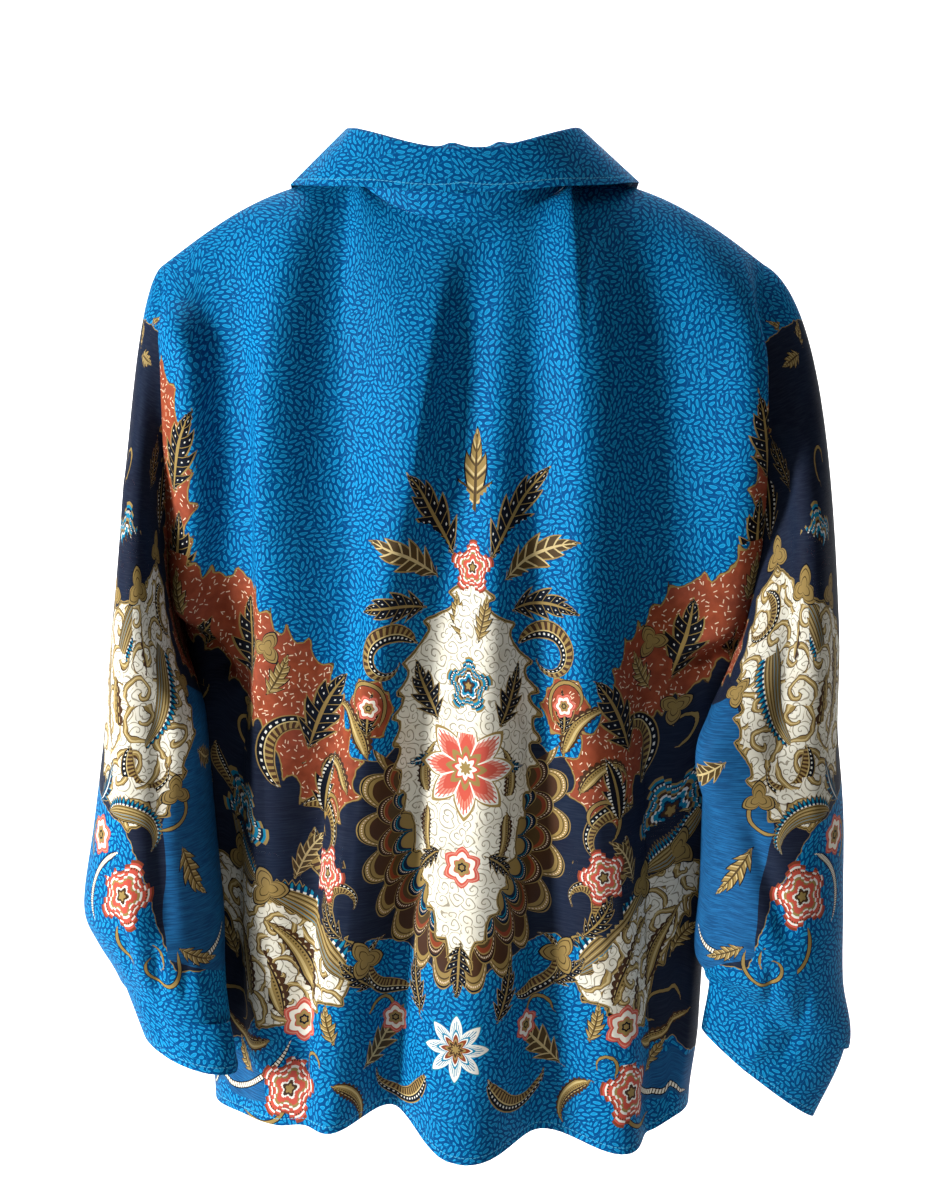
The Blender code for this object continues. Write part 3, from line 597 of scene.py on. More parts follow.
def shirt_panels():
    """All the cloth panels' grids, worked out as the solids are."""
    back_steps = [n * COLUMNS_FINER for n in BACK_STEPS]
    front_steps = [n * COLUMNS_FINER for n in FRONT_STEPS]
    back = torso_panel(BACK_FOLDS, back_steps, front=False, side=0)
    front_left = torso_panel(FRONT_FOLDS, front_steps, front=True, side=1)
    front_right = torso_panel(FRONT_FOLDS, front_steps, front=True, side=-1)
    panels = {
        "back": Panel(back, False, 1),
        "front_left": Panel(front_left, False, -1),
        "front_right": Panel(front_right, False, 1),
    }
    armpit = ROWS_TO_ARMPIT
    edges = {
        "left": (back[armpit:, 0], front_left[armpit:, 0], 1),
        "right": (back[armpit:, -1], front_right[armpit:, 0], -1),
    }
    for name, (back_edge, front_edge, side) in edges.items():
        loop, angles = armhole(back_edge, front_edge)
        panels[f"sleeve_{name}"] = Panel(sleeve_panel(name, side, loop, angles), True, -side)
        panels[f"cuff_{name}"] = Panel(cuff_panel(name, side, angles), True, -side)
    shoulder = sum(back_steps[:3])
    lap = front_steps[-1]
    neck_back = back[-1, shoulder:-shoulder]
    neck_left = front_left[-1, sum(front_steps[:3]) : -lap]
    neck_right = front_right[-1, sum(front_steps[:3]) : -lap]
    neck = np.concatenate([neck_left[::-1], neck_back[1:-1], neck_right])
    panels["collar"] = Panel(collar_panel(neck), False, 1)
    return panels


def steps_along(grid, axis):
    """Distances run along the grid's lines, from 0 at their first points."""
    steps = np.linalg.norm(np.diff(grid, axis=axis), axis=-1)
    start = np.zeros_like(np.take(steps, [0], axis=axis))
    return np.concatenate([start, np.cumsum(steps, axis=axis)], axis=axis)


# Where the back's middle line crosses a height, and how it slants; and the cuffs' place in the print
BACK_CENTRE_X, BACK_CENTRE_Z, BACK_CENTRE_SLANT = -0.009, -0.29, 0.035
CUFF_TOP_V = -0.21


def flat_places(name, grid):
    """Flat coordinates of a panel: u across from its middle line, v up from the armpit's level."""
    across, along = steps_along(grid, 1), steps_along(grid, 0)
    if name == "back":
        centre = BACK_CENTRE_X + (BACK_CENTRE_Z - grid[..., 2]) * BACK_CENTRE_SLANT
        off = grid[..., 0] - centre
        row = np.arange(len(grid))
        before = np.argmax(off < 0, axis=1)
        a, b = off[row, before - 1], off[row, before]
        share = a / (a - b)
        middle = across[row, before - 1] * (1 - share) + across[row, before] * share
        return middle[:, None] - across, along - along[ROWS_TO_ARMPIT]
    if name.startswith("front"):
        return across[:, -1:] - across, along - along[ROWS_TO_ARMPIT]
    if name == "collar":
        return across - across[:, grid.shape[1] // 2][:, None], along
    tip = ROWS_TO_SEAM
    if name.startswith("sleeve"):
        return across - across[:, tip][:, None], along[CAP_ROWS] - along
    return across - across[:, tip][:, None], CUFF_TOP_V - along


# ---------------------------------------------------------------- the print's layout

# A sprig is a motif on a curved middle line: its base (u, v), the way it sets off in degrees from +u
# towards +v, its length, half its width, and how far it has bent by its tip. A flower's squash is its
# height over its width. Tables give lengths in millimetres.
Sprig = namedtuple("Sprig", "kind u v turn length width bend")
Flower = namedtuple("Flower", "kind u v turn radius squash")
IN_MM = ("u", "v", "length", "width", "radius")

# Each sort's kinds, numbered from 1 in this order
LEAVES = ("dark", "gold", "striped", "dotted", "teal")
FLOWERS = ("bloom", "teal", "coral", "rosette", "spiky", "bud")
FRONDS = ("feather", "moon", "ribbed")
SCROLLS = ("gold", "cream")

# The wearer's right half of the back lies flatter, so the print's outer parts come nearer the middle
DRAWN_IN, DRAWN_IN_FROM = 0.20, 0.12


def motif_table(shape, kinds, text):
    """Motifs from a table: in each row a kind and then the shape's other columns."""
    found = []
    for row in text.strip().splitlines():
        if not row.startswith("#"):
            kind, *given = row.split()
            columns = zip(given, shape._fields[1:])
            numbers = [float(n) / (MM if column in IN_MM else 1) for n, column in columns]
            found.append(shape(kinds.index(kind) + 1, *numbers))
    return found


def other_side(u):
    return -(u - DRAWN_IN * max(0.0, u - DRAWN_IN_FROM))


def mirrored(item):
    """An outline or a motif on the other side of the middle line."""
    if isinstance(item, list):
        return [(other_side(u), v) for u, v in item]
    changes = {"u": other_side(item.u), "turn": 180 - item.turn}
    if isinstance(item, Sprig):
        # a negative width keeps the outer side of a lopsided motif outside
        changes.update(bend=-item.bend, width=-item.width)
    return item._replace(**changes)


def both_sides(items):
    """Outlines or motifs and their mirror images, apart from that of a motif on the middle line."""
    return items + [mirrored(i) for i in items if isinstance(i, list) or abs(i.u) > 1e-6]


def doubled(layout):
    return {key: both_sides(items) for key, items in layout.items()}


# One tongue of a flamed edge: shares of its length along the edge and of its height out from it
TONGUE = ((0.00, 0.00), (0.30, 0.12), (0.56, 0.42), (0.86, 1.00), (0.84, 0.50), (0.92, 0.14))


def flamed(tooth, height, text):
    """A closed outline with curved pointed tongues along its edges, each leaning the way it runs."""
    outline = [np.array(place) for place in points(text)]
    sides = list(zip(outline, outline[1:] + outline[:1]))
    area = sum(a[0] * b[1] - b[0] * a[1] for a, b in sides)
    flames = []
    for start, end in sides:
        run = end - start
        length = float(np.linalg.norm(run))
        outward = np.array([run[1], -run[0]]) / length * math.copysign(1, area)
        count = max(1, round(length / tooth))
        for i in range(count):
            for along, out in TONGUE:
                flames.append(start + run * (i + along) / count + outward * height * out)
    return [(float(u), float(v)) for u, v in flames]


# A front's print is half of the back's, and the medallion's other half lies under the lap
FRONT_PRINT = dict(
    navy=[points("""
        350,60 246,10 186,-10 140,-60 106,-84 76,-88 56,-70 0.1,-70 0.1,-262 26,-246 60,-236 86,-227
        111,-236 137,-276 163,-303 193,-290 222,-322 258,-339 350,-350""")],
    # the wide band, and a small mango beside the medallion
    rust=[
        flamed(0.025, 0.0105, """
        112,-126 100,-106 102,-84 112,-66 128,-44 138,-18 152,-2 166,4 182,22 196,36 226,42 244,50
        258,70 262,96 258,122 262,148 270,178 286,204 330,226 330,-10 270,-6 250,-26 226,-40 204,-46
        186,-58 178,-80 162,-104 150,-124 132,-134"""),
        flamed(0.014, 0.0040, "68,-44 80,-26 98,-30 104,-50 92,-68 74,-64"),
    ],
    # the medallion, and the hem's corner
    cream=both_sides([flamed(0.023, 0.0085, """
        0,56 12,30 34,6 50,-24 58,-60 57,-98 47,-134 36,-166 22,-204 0,-244""")])
    + [flamed(0.024, 0.0070, """
        240,-232 218,-262 204,-288 190,-304 164,-292 140,-280 114,-270 108,-250 134,-236 158,-222
        180,-206 204,-194 232,-188 254,-196""")],
    wash=[points("330,-346 256,-344 214,-334 192,-346 190,-368 240,-378 330,-384")],
    leaves=motif_table(Sprig, LEAVES, """
# the palmette over the middle medallion
gold 0 76 90 86 15 0
dark 16 66 64 80 15 -20
striped 28 50 36 70 13.5 -30
dark 36 26 12 60 12.5 -34
# its foot
dark 0 -226 -90 44 11 0
# inside the medallion
dark 26 -60 62 50 12.5 16
gold 8 4 78 36 7.5 6
teal 30 -88 -24 22 5.5 20
dark 18 -158 -26 32 8 -40
# the rust bands
dark 272 124 98 66 16 8
dark 272 46 100 66 16.5 -10
gold 262 28 70 40 9 30
dark 262 -22 122 50 13 12
dark 196 -34 70 66 18 24
dark 152 -84 112 70 16.5 26
gold 178 -40 128 36 8.5 -20
dotted 142 -136 96 54 12 30
dark 88 -68 92 34 9 20
# the navy sides
striped 166 -186 112 46 9.5 40
gold 236 -152 100 36 8 30
dark 112 -226 40 40 10 40
gold 232 -262 60 36 8 -20
# the hem
striped 100 -334 142 62 12 -24
dark 32 -290 66 50 10 30
gold 124 -312 70 34 8 30
gold 204 -346 24 34 7 40
dark 88 -268 30 38 9 30"""),
    flowers=motif_table(Flower, FLOWERS, """
bloom 0 -92 90 40 1
teal 0 -30 90 22 0.95
rosette 0 -168 90 16 1
coral 0 58 90 21 0.9
rosette 86 -46 70 10 1
spiky 0 -310 90 28 1
teal 217 -141 52 36 0.84
coral 170 -354 100 31 0.84
rosette 160 -299 90 17.5 1
coral 128 -178 110 24 0.86
bud 228 -178 80 18 1
bud 188 -192 70 18 1
bud 94 -244 60 18 1
bud 176 -4 120 14 1
bud 206 -58 150 15 1
rosette 66 -300 90 13 1"""),
    fronds=motif_table(Sprig, FRONDS, """
# the hem's corner: one long feather over half moons on the cream
feather 104 -258 52 130 17 -44
feather 196 -186 30 70 12 50
moon 146 -280 74 80 9 -50
moon 176 -294 80 78 9 -50
moon 204 -282 84 70 8 -50
# ribbed curls on the navy
ribbed 176 -112 56 116 7.5 300
ribbed 250 -100 -90 56 5.8 -110
ribbed 150 -148 -80 110 7.6 -330
ribbed 158 -128 166 76 6.6 200
ribbed 120 -214 60 60 6.2 250
# curls round the medallion
ribbed 44 0 40 96 7.2 -300
moon 88 -84 84 62 7.4 -110
moon 104 -112 70 56 7 -150
moon 34 -118 76 46 5.6 60
moon 34 -126 -80 44 5.4 -60
# the hem's curls
ribbed 26 -336 -60 84 7.4 150
ribbed 50 -272 -10 86 6.6 190
moon 188 -316 -20 64 6.2 80
moon 128 -346 200 50 6.2 100"""),
    scrolls=motif_table(Sprig, SCROLLS, """
gold 218 -384 196 100 2.1 -230
cream 268 -376 172 120 2.8 -60
gold 162 -326 250 50 1.8 -210
gold 136 -150 60 70 2.1 280
gold 78 -60 120 70 1.9 -260
gold 110 -226 200 60 1.9 250
gold 252 -56 -60 50 1.9 260
gold 214 -90 20 50 1.8 250
gold 256 -130 90 44 1.8 -250
gold 92 -290 120 50 1.8 260
gold 152 -340 70 36 1.6 220
gold 248 -300 120 60 1.9 240"""),
)
# The sleeve's navy ground is outlined right round, and the rest on one side only
SLEEVE_NAVY = [points("""
        -340,262 -200,268 -97,277 -40,296 26,307 64,304 100,292 180,280 340,262 340,-176 160,-182
        112,-176 102,-120 76,-60 20,-40 -40,-60 -90,-150 -160,-182 -340,-176""")]
SLEEVE_PRINT = dict(
    rust=[flamed(0.026, 0.0110, """
        330,20 212,34 182,66 192,105 188,150 174,190 150,224 124,250 112,275 150,330 330,340""")],
    cream=[flamed(0.022, 0.0065, """
        22,24 36,-12 58,-44 86,-60 112,-46 124,-18 136,10 140,44 158,76 160,122 136,132 112,112 84,104
        52,92 30,64""")],
    wash=[points("150,44 124,-14 106,-62 112,-110 108,-166 160,-190 340,-186 340,-10 200,20")],
    leaves=motif_table(Sprig, LEAVES, """
gold 38 288 62 34 8 0
gold 40 284 130 30 7.4 0
gold 42 284 -8 30 7.4 0
dark 190 196 112 70 16.9 14
gold 212 116 98 76 13.2 10
dark 224 48 106 66 16.9 -12
dotted 158 160 90 62 12.1 30
teal 40 -50 40 46 8 40
gold 122 -80 -70 53 9 36
gold 118 -158 -40 38 6.7 40
striped 146 -10 -40 48 9 60
dark 120 190 70 44 11.1 40"""),
    flowers=motif_table(Flower, FLOWERS, """
teal 74 146 84 33 0.84
coral 78 -114 70 30 0.84
rosette 46 -74 80 16 1
bud 96 116 100 18 1
bud 56 108 120 16 1
bud 144 146 80 16 1
bud 150 44 10 14 1
bud 120 -38 -30 14 1"""),
    fronds=motif_table(Sprig, FRONDS, """
feather 40 86 262 110 13 60
feather 106 112 226 76 11.5 50
moon 100 92 -70 104 7.5 -66
moon 70 52 -90 98 7.2 50
moon 136 112 -92 94 7.2 -30
moon 122 28 -100 60 6.2 -50
ribbed 96 -44 30 40 5.5 250
ribbed 134 60 60 60 5.2 200
feather 130 84 262 104 11 -40
moon 52 78 -104 90 7 60
ribbed 86 0 -110 70 6 230
ribbed 152 120 200 70 5.6 250
feather 60 -52 20 66 9.5 -150"""),
    scrolls=motif_table(Sprig, SCROLLS, """
cream 60 -150 -30 120 2.8 70
gold 70 -140 -110 90 2.1 250
gold 116 -162 -84 70 2 -260
gold 104 -66 0 66 2 270
gold 40 -96 150 60 2 -250
gold 60 190 60 50 1.8 240
cream 70 -82 210 70 2.6 90"""),
)
LAYOUTS = {
    "back": doubled(FRONT_PRINT),
    "front": FRONT_PRINT,
    "sleeve": dict(doubled(SLEEVE_PRINT), navy=SLEEVE_NAVY),
}
NO_PRINT = dict.fromkeys(FRONT_PRINT, ())
UNSTITCHED = 900.0  # a distance in millimetres from any stitching
SHARP_ANGLE = math.radians(60)
BOLD_CURLS_FROM = 0.090  # how far from the middle line the cream's curls turn bold
SPINE_STEPS = 26
MOTIF_MARGIN = 0.0065  # how far past its edge a motif's coordinates are kept
SPRIG_REACH, FLOWER_REACH = 1.25, 1.15  # and past how many half widths or radii
THINNEST, FARTHEST_ASIDE = 0.0006, 6


def outline_distance(u, v, outline):
    """Signed distance to a closed outline in centimetres, under 0 inside: the nearest of its segments,
    and inside where a level line crosses the outline an odd number of times."""
    nearest = np.full(u.shape, FAR)
    inside = np.zeros(u.shape, bool)
    for start, end in zip(outline, outline[1:] + outline[:1]):
        nearest = np.minimum(nearest, segment_distance(u, v, start, end)[0])
        crosses = (start[1] > v) != (end[1] > v)
        if start[1] != end[1]:
            at = start[0] + (v - start[1]) / (end[1] - start[1]) * (end[0] - start[0])
            inside ^= crosses & (u < at)
    return np.where(inside, -nearest, nearest) * 100


def ground_distance(u, v, outlines):
    """The least signed distance to any of the outlines."""
    nearest = np.full(u.shape, FAR)
    for outline in outlines:
        nearest = np.minimum(nearest, outline_distance(u, v, outline))
    return nearest


def spine(motif):
    """A motif's middle line: it sets off along its turn and curls more and more to its tip."""
    t = np.linspace(0, 1, SPINE_STEPS + 1)
    heading = np.radians(motif.turn + motif.bend * ((t[:-1] + t[1:]) / 2) ** 1.5)
    steps = np.stack([np.cos(heading), np.sin(heading)], axis=-1) * motif.length / SPINE_STEPS
    return np.concatenate([[[0, 0]], np.cumsum(steps, axis=0)]) + [motif.u, motif.v]


def leaf_width(t):
    """A leaf's half width over its widest: a sine pulled towards the base, pointed at both ends."""
    return np.sin(math.pi * np.clip(t, 0, 1) ** 0.8)


def frond_width(t):
    """A frond's half width: round at the base, full in the middle and drawn out to a point."""
    return np.sqrt(np.clip(t * 4, 0.02, 1)) * (1 - np.clip(t, 0, 1) ** 2.2)


def scroll_width(t):
    """A scroll's half width: even, with thin ends."""
    return np.sqrt(np.clip(t * 8, 0.05, 1)) * np.sqrt(np.clip((1 - t) * 4, 0.05, 1))


def along_spines(u, v, motifs, width_of):
    """For each point, the motif over it: how far along its spine (0 to 1), how far aside in half widths,
    and its kind, with 0 where there is none or where two motifs meet between points."""
    along, aside, kind = np.zeros((3, *u.shape))
    owner = np.zeros(u.shape, int)
    for number, motif in enumerate(motifs, 1):
        line = spine(motif)
        reach = abs(motif.width) * 1.3 + MOTIF_MARGIN * 2
        low, high = line.min(axis=0) - reach, line.max(axis=0) + reach
        near = (u > low[0]) & (u < high[0]) & (v > low[1]) & (v < high[1])
        if not near.any():
            continue
        a, b = u[near], v[near]
        best, place, side = np.full(a.shape, FAR), np.zeros(a.shape), np.zeros(a.shape)
        for i in range(SPINE_STEPS):
            off, held, left = segment_distance(a, b, line[i], line[i + 1])
            nearer = off < best
            best = np.where(nearer, off, best)
            place = np.where(nearer, (i + held) / SPINE_STEPS, place)
            side = np.where(nearer, np.sign(left), side)
        width = abs(motif.width) * width_of(place)
        side = side * np.sign(motif.width)
        taken = best < width * SPRIG_REACH + MOTIF_MARGIN
        beside = np.clip(best * side / np.maximum(width, THINNEST), -FARTHEST_ASIDE, FARTHEST_ASIDE)
        spots = np.argwhere(near)
        rows, columns = spots[:, 0], spots[:, 1]
        close = best < width * SPRIG_REACH + MOTIF_MARGIN * 2
        written = taken | (close & (kind[rows, columns] == 0))
        along[rows[written], columns[written]] = place[written]
        aside[rows[written], columns[written]] = beside[written]
        kind[rows[taken], columns[taken]] = motif.kind
        owner[rows[taken], columns[taken]] = number
    return np.stack([along, aside, clear_meetings(kind, owner)], axis=-1)


def over_flowers(u, v, motifs):
    """For each point, the flower over it: its two coordinates there in radii, and its kind."""
    first, second, kind = np.zeros((3, *u.shape))
    owner = np.zeros(u.shape, int)
    for number, motif in enumerate(motifs, 1):
        a, b = u - motif.u, v - motif.v
        off = np.hypot(a, b)
        taken = off < motif.radius * FLOWER_REACH + MOTIF_MARGIN
        close = off < motif.radius * FLOWER_REACH + MOTIF_MARGIN * 2
        written = taken | (close & (kind == 0))
        turn = math.radians(motif.turn)
        x = a * math.cos(turn) + b * math.sin(turn)
        y = (b * math.cos(turn) - a * math.sin(turn)) / motif.squash
        first[written], second[written] = x[written] / motif.radius, y[written] / motif.radius
        kind[taken], owner[taken] = motif.kind, number
    return np.stack([first, second, clear_meetings(kind, owner)], axis=-1)


def clear_meetings(kind, owner):
    """The kinds with 0 at each point whose neighbour belongs to a later motif."""
    clear = np.zeros(kind.shape, bool)
    for rows, columns in ((1, 0), (-1, 0), (0, 1), (0, -1), (1, 1), (-1, -1), (1, -1), (-1, 1)):
        other = np.roll(owner, (rows, columns), axis=(0, 1))
        clear |= (other > owner) & (owner > 0)
    return np.where(clear, 0, kind)


def edge_places(name, grid):
    """Distance to the piece's top-stitched edge and the run along it, in millimetres."""
    along, across = steps_along(grid, 0), steps_along(grid, 1)
    if name == "collar" or name.startswith("cuff"):
        return (along[-1] - along) * MM, across * MM
    if name.startswith("sleeve"):
        return 0 * along + UNSTITCHED, across * MM
    hem = along * MM
    if name == "back":
        return hem, across * MM
    front = (across[:, -1:] - across) * MM
    return np.minimum(hem, front), np.where(hem < front, across, along) * MM


# ---------------------------------------------------------------- shells


def fill(data, key, values, kind=np.float32):
    """Sets one value of every element of a mesh's list."""
    data.foreach_set(key, np.ascontiguousarray(values, kind).ravel())


def cloth_mesh(name, panel, normals, fields):
    """A thin closed shell: the outer layer, an inner layer one cloth's thickness inside it, and strips
    round the open edges. A tube's first and last columns are one line of vertices. The fields are
    given for each grid point, and become corner data."""
    grid = panel.grid
    rows, columns = grid.shape[:2]
    place = np.arange(rows * columns).reshape(rows, columns)
    count = columns - 1 if panel.closed else columns
    vertex = np.arange(rows * count).reshape(rows, count)
    if panel.closed:
        vertex = np.concatenate([vertex, vertex[:, :1]], axis=1)
    vertex = vertex.ravel()
    outer = grid[:, :count].reshape(-1, 3)
    inner = (grid - normals * CLOTH_THICK)[:, :count].reshape(-1, 3)
    far = len(outer)

    quads = np.stack([place[:-1, :-1], place[1:, :-1], place[1:, 1:], place[:-1, 1:]], axis=-1)
    quads = quads.reshape(-1, 4)
    outer_faces = vertex[quads]
    inner_faces = vertex[quads[:, ::-1]] + far
    borders = [place[0], place[-1][::-1]]
    if not panel.closed:
        borders += [place[::-1, 0], place[:, -1]]
    edges = np.concatenate([np.stack([e[:-1], e[1:]], axis=-1) for e in borders])
    strip = np.stack([edges[:, 0], edges[:, 1], edges[:, 1], edges[:, 0]], axis=-1)
    strip_faces = vertex[strip] + np.array([0, 0, far, far])

    faces = np.concatenate([outer_faces, inner_faces, strip_faces])
    corners = np.concatenate([quads, quads[:, ::-1], strip])
    reverse = np.concatenate([np.zeros(len(quads)), np.ones(len(quads)), np.zeros(len(strip))])
    if panel.outward_sign > 0:
        faces, corners = faces[:, ::-1], corners[:, ::-1]
    mesh = bpy.data.meshes.new(name)
    mesh.vertices.add(far * 2)
    fill(mesh.vertices, "co", np.concatenate([outer, inner]))
    mesh.loops.add(faces.size)
    fill(mesh.loops, "vertex_index", faces, np.int32)
    mesh.polygons.add(len(faces))
    fill(mesh.polygons, "loop_start", np.arange(0, faces.size, 4), np.int32)
    mesh.update(calc_edges=True)
    mesh.validate()
    corners = corners.ravel()
    fill(mesh.uv_layers.new(name="flat").data, "uv", fields.pop("flat").reshape(-1, 2)[corners])
    for field, values in fields.items():
        values = values.reshape(-1, 3)[corners]
        if field == "extra" and name != "collar":  # a collar shows its right side on both faces
            values[:, 1] = np.repeat(reverse, 4)
        fill(mesh.attributes.new(field, "FLOAT_VECTOR", "CORNER").data, "vector", values)
    fill(mesh.polygons, "use_smooth", np.ones(len(faces)), bool)
    mesh.set_sharp_from_angle(angle=SHARP_ANGLE)
    return mesh


def print_fields(name, grid):
    """The flat places and the print's fields over a panel's grid."""
    u, v = flat_places(name, grid)
    layout = LAYOUTS.get(name.split("_")[0], NO_PRINT)
    stitch, run = edge_places(name, grid)
    zero = np.zeros(u.shape)
    bold = zero + 1 if name.startswith("sleeve") else np.abs(u) / BOLD_CURLS_FROM
    grounds = ("navy", "rust", "cream", "wash")
    navy, rust, cream, wash = (ground_distance(u, v, layout[key]) for key in grounds)
    return {
        "flat": np.stack([u, v], axis=-1),
        "ground": np.stack([navy, rust, cream], axis=-1),
        "extra": np.stack([wash, zero, bold], axis=-1),
        "edge": np.stack([stitch, run, zero], axis=-1),
        "frond": along_spines(u, v, layout["fronds"], frond_width),
        "scroll": along_spines(u, v, layout["scrolls"], scroll_width),
        "leaf": along_spines(u, v, layout["leaves"], leaf_width),
        "flower": over_flowers(u, v, layout["flowers"]),
    }


# ---------------------------------------------------------------- shader maths


class Value:
    """A number or vector in a material's nodes: sums on it add Math or Vector Math nodes."""

    def __init__(self, tree, socket, vector=False):
        self.tree, self.socket, self.vector = tree, socket, vector

    def feed(self, socket, given):
        if isinstance(given, Value):
            self.tree.links.new(given.socket, socket)
        else:
            socket.default_value = given

    def node(self, kind, output=0, settings=None, **inputs):
        """Any node in the same material, its settings by name and its inputs by number (i0, i1) or
        name; the named or numbered output comes back as a Value."""
        node = self.tree.nodes.new(kind)
        for key, setting in (settings or {}).items():
            setattr(node, key, setting)
        for key, given in inputs.items():
            self.feed(node.inputs[int(key[1:]) if key[1:].isdigit() else key], given)
        result = node.outputs[output]
        return Value(self.tree, result, result.type in ("VECTOR", "RGBA"))

    def _math(self, operation, *others):
        inputs = {f"i{n}": other for n, other in enumerate((self,) + others)}
        return self.node("ShaderNodeMath", 0, {"operation": operation}, **inputs)

    def _sum(self, operation, other):
        if not (self.vector or isinstance(other, Value) and other.vector):
            return self._math(operation, other)
        a, b = (e if isinstance(e, Value) else (e,) * 3 for e in (self, other))
        return self.node("ShaderNodeVectorMath", 0, {"operation": operation}, i0=a, i1=b)

    def _axis(self, number):
        return self.node("ShaderNodeSeparateXYZ", number, i0=self)

    __add__ = __radd__ = partialmethod(_sum, "ADD")
    __mul__ = __rmul__ = partialmethod(_sum, "MULTIPLY")
    __sub__ = partialmethod(_sum, "SUBTRACT")
    __truediv__ = partialmethod(_sum, "DIVIDE")
    __pow__ = partialmethod(_math, "POWER")
    x = partialmethod(_axis, 0)
    y = partialmethod(_axis, 1)
    z = partialmethod(_axis, 2)
    over = partialmethod(_math, "GREATER_THAN")
    under = partialmethod(_math, "LESS_THAN")
    most = partialmethod(_math, "MAXIMUM")
    size = partialmethod(_math, "ABSOLUTE")
    whole = partialmethod(_math, "FLOOR")
    part = partialmethod(_math, "FRACT")
    sine = partialmethod(_math, "SINE")
    cosine = partialmethod(_math, "COSINE")
    root = partialmethod(_math, "SQRT")
    angle_over = partialmethod(_math, "ARCTAN2")

    def __rsub__(self, other):
        return self.node("ShaderNodeMath", 0, {"operation": "SUBTRACT"}, i0=other, i1=self)

    def between(self, low, high):
        return self.over(low) * self.under(high)

    def near(self, middle, reach):
        """1 where the number is less than the reach from the middle."""
        return (self - middle).size().under(reach)

    def ramp(self, low, high):
        """0 to 1, evenly, as the number goes from low to high."""
        return self.node("ShaderNodeMapRange", 0, None, i0=self, i1=low, i2=high)

    def noise(self, scale, detail=2.0, roughness=0.5):
        settings = {"noise_dimensions": "2D"}
        inputs = dict(Vector=self, Scale=scale, Detail=detail, Roughness=roughness)
        return self.node("ShaderNodeTexNoise", 0, settings, **inputs)

    def cells(self, output, randomness=1.0, **settings):
        """Scattered cells: the Position of each one's point, its Color, or its nearest edge's distance."""
        settings["voronoi_dimensions"] = "2D"
        inputs = dict(Vector=self, Scale=1.0, Randomness=randomness)
        return self.node("ShaderNodeTexVoronoi", output, settings, **inputs)

    def along_and_across(self, turn):
        """A flat vector's two coordinates along and across a heading."""
        a, b, cosine, sine = self.x(), self.y(), turn.cosine(), turn.sine()
        return a * cosine + b * sine, b * cosine - a * sine

    def paint(self, *layers):
        """This colour with each (mask, colour) in turn laid over it where the mask is 1."""
        below = self
        for mask, colour in layers:
            node = self.tree.nodes.new("ShaderNodeMix")
            node.data_type = "RGBA"
            for number, given in ((0, mask), (6, below), (7, colour)):
                self.feed(node.inputs[number], given)
            below = Value(self.tree, node.outputs[2], True)
        return below

    def by_kind(self, colours):
        """A colour for each whole number from 1, given as letters of the palette or as colours."""
        node = self.tree.nodes.new("ShaderNodeValToRGB")
        stops = node.color_ramp.elements
        node.color_ramp.interpolation = "CONSTANT"
        places = len(colours) + 1
        for number, colour in enumerate(colours):
            place = (number + 0.5) / places if number else 0.0
            stop = stops[number] if number < 2 else stops.new(place)
            stop.position = place
            stop.color = PALETTE.get(colour, colour)
        self.feed(node.inputs[0], self / places)
        return Value(self.tree, node.outputs[0], True)

    def number_by_kind(self, *numbers):
        return self.by_kind([rgb(n, n, n) for n in numbers]).x()


def together(x, y):
    """Two numbers as one flat vector."""
    return x.node("ShaderNodeCombineXYZ", 0, i0=x, i1=y)


# ---------------------------------------------------------------- the print's colours


def rgb(red, green, blue):
    return (red, green, blue, 1.0)


BLUE_GROUND = rgb(0.0004, 0.040, 0.135)
BLUE_GRAIN = rgb(0.0030, 0.142, 0.310)
BLUE_GRAIN_RIM = rgb(0.012, 0.235, 0.440)
NAVY_GROUND, NAVY_STREAK = rgb(0.006, 0.008, 0.018), rgb(0.012, 0.016, 0.028)
WASH_GROUND, WASH_BLUE = rgb(0.006, 0.040, 0.110), rgb(0.010, 0.082, 0.200)
RUST_GROUND, RUST_LIGHT = rgb(0.150, 0.031, 0.012), rgb(0.205, 0.044, 0.018)
CREAM_GROUND, CREAM_SHADE = rgb(0.520, 0.500, 0.420), rgb(0.36, 0.31, 0.22)
CREAM_LINE = rgb(0.120, 0.095, 0.060)
DASH_WHITE = rgb(0.520, 0.400, 0.280)
GOLD, GOLD_DARK = rgb(0.190, 0.128, 0.040), rgb(0.050, 0.030, 0.010)
BRIGHT_GOLD, PALE_GOLD, DULL_GOLD = rgb(0.36, 0.28, 0.13), rgb(0.34, 0.26, 0.11), rgb(0.30, 0.24, 0.12)
BLACK = rgb(0.004, 0.004, 0.006)
DARK_BLUE = rgb(0.004, 0.012, 0.030)
BROWN = rgb(0.040, 0.018, 0.008)
TEAL = rgb(0.006, 0.130, 0.220)
WHITE = rgb(0.500, 0.490, 0.440)
CORAL, PINK = rgb(0.340, 0.055, 0.035), rgb(0.400, 0.150, 0.110)
THREAD = rgb(0.060, 0.280, 0.420)
FADED, INSIDE = rgb(0.006, 0.030, 0.070), rgb(0.10, 0.14, 0.18)
# The motifs' colours by letter, so that a row of them reads as one word
PALETTE = {
    "g": GOLD, "d": GOLD_DARK, "l": BRIGHT_GOLD, "k": BLACK, "n": DARK_BLUE, "b": BROWN, "t": TEAL,
    "w": WHITE, "c": CORAL, "p": PINK, "r": RUST_GROUND, "m": CREAM_GROUND,
}
# Sizes in the grounds' patterns, in millimetres of cloth
PATCH, GRAIN_ROW, GRAIN_STEP = 9.5, 3.0, 6.8
DASH_CELL, DASH_HALF_LENGTH, DASH_HALF_WIDTH = 4.2, 1.5, 0.36
STITCH_IN, STITCH_HALF_WIDTH, STITCH_STEP = 5.5, 0.32, 3.0
WEAVE = 0.55


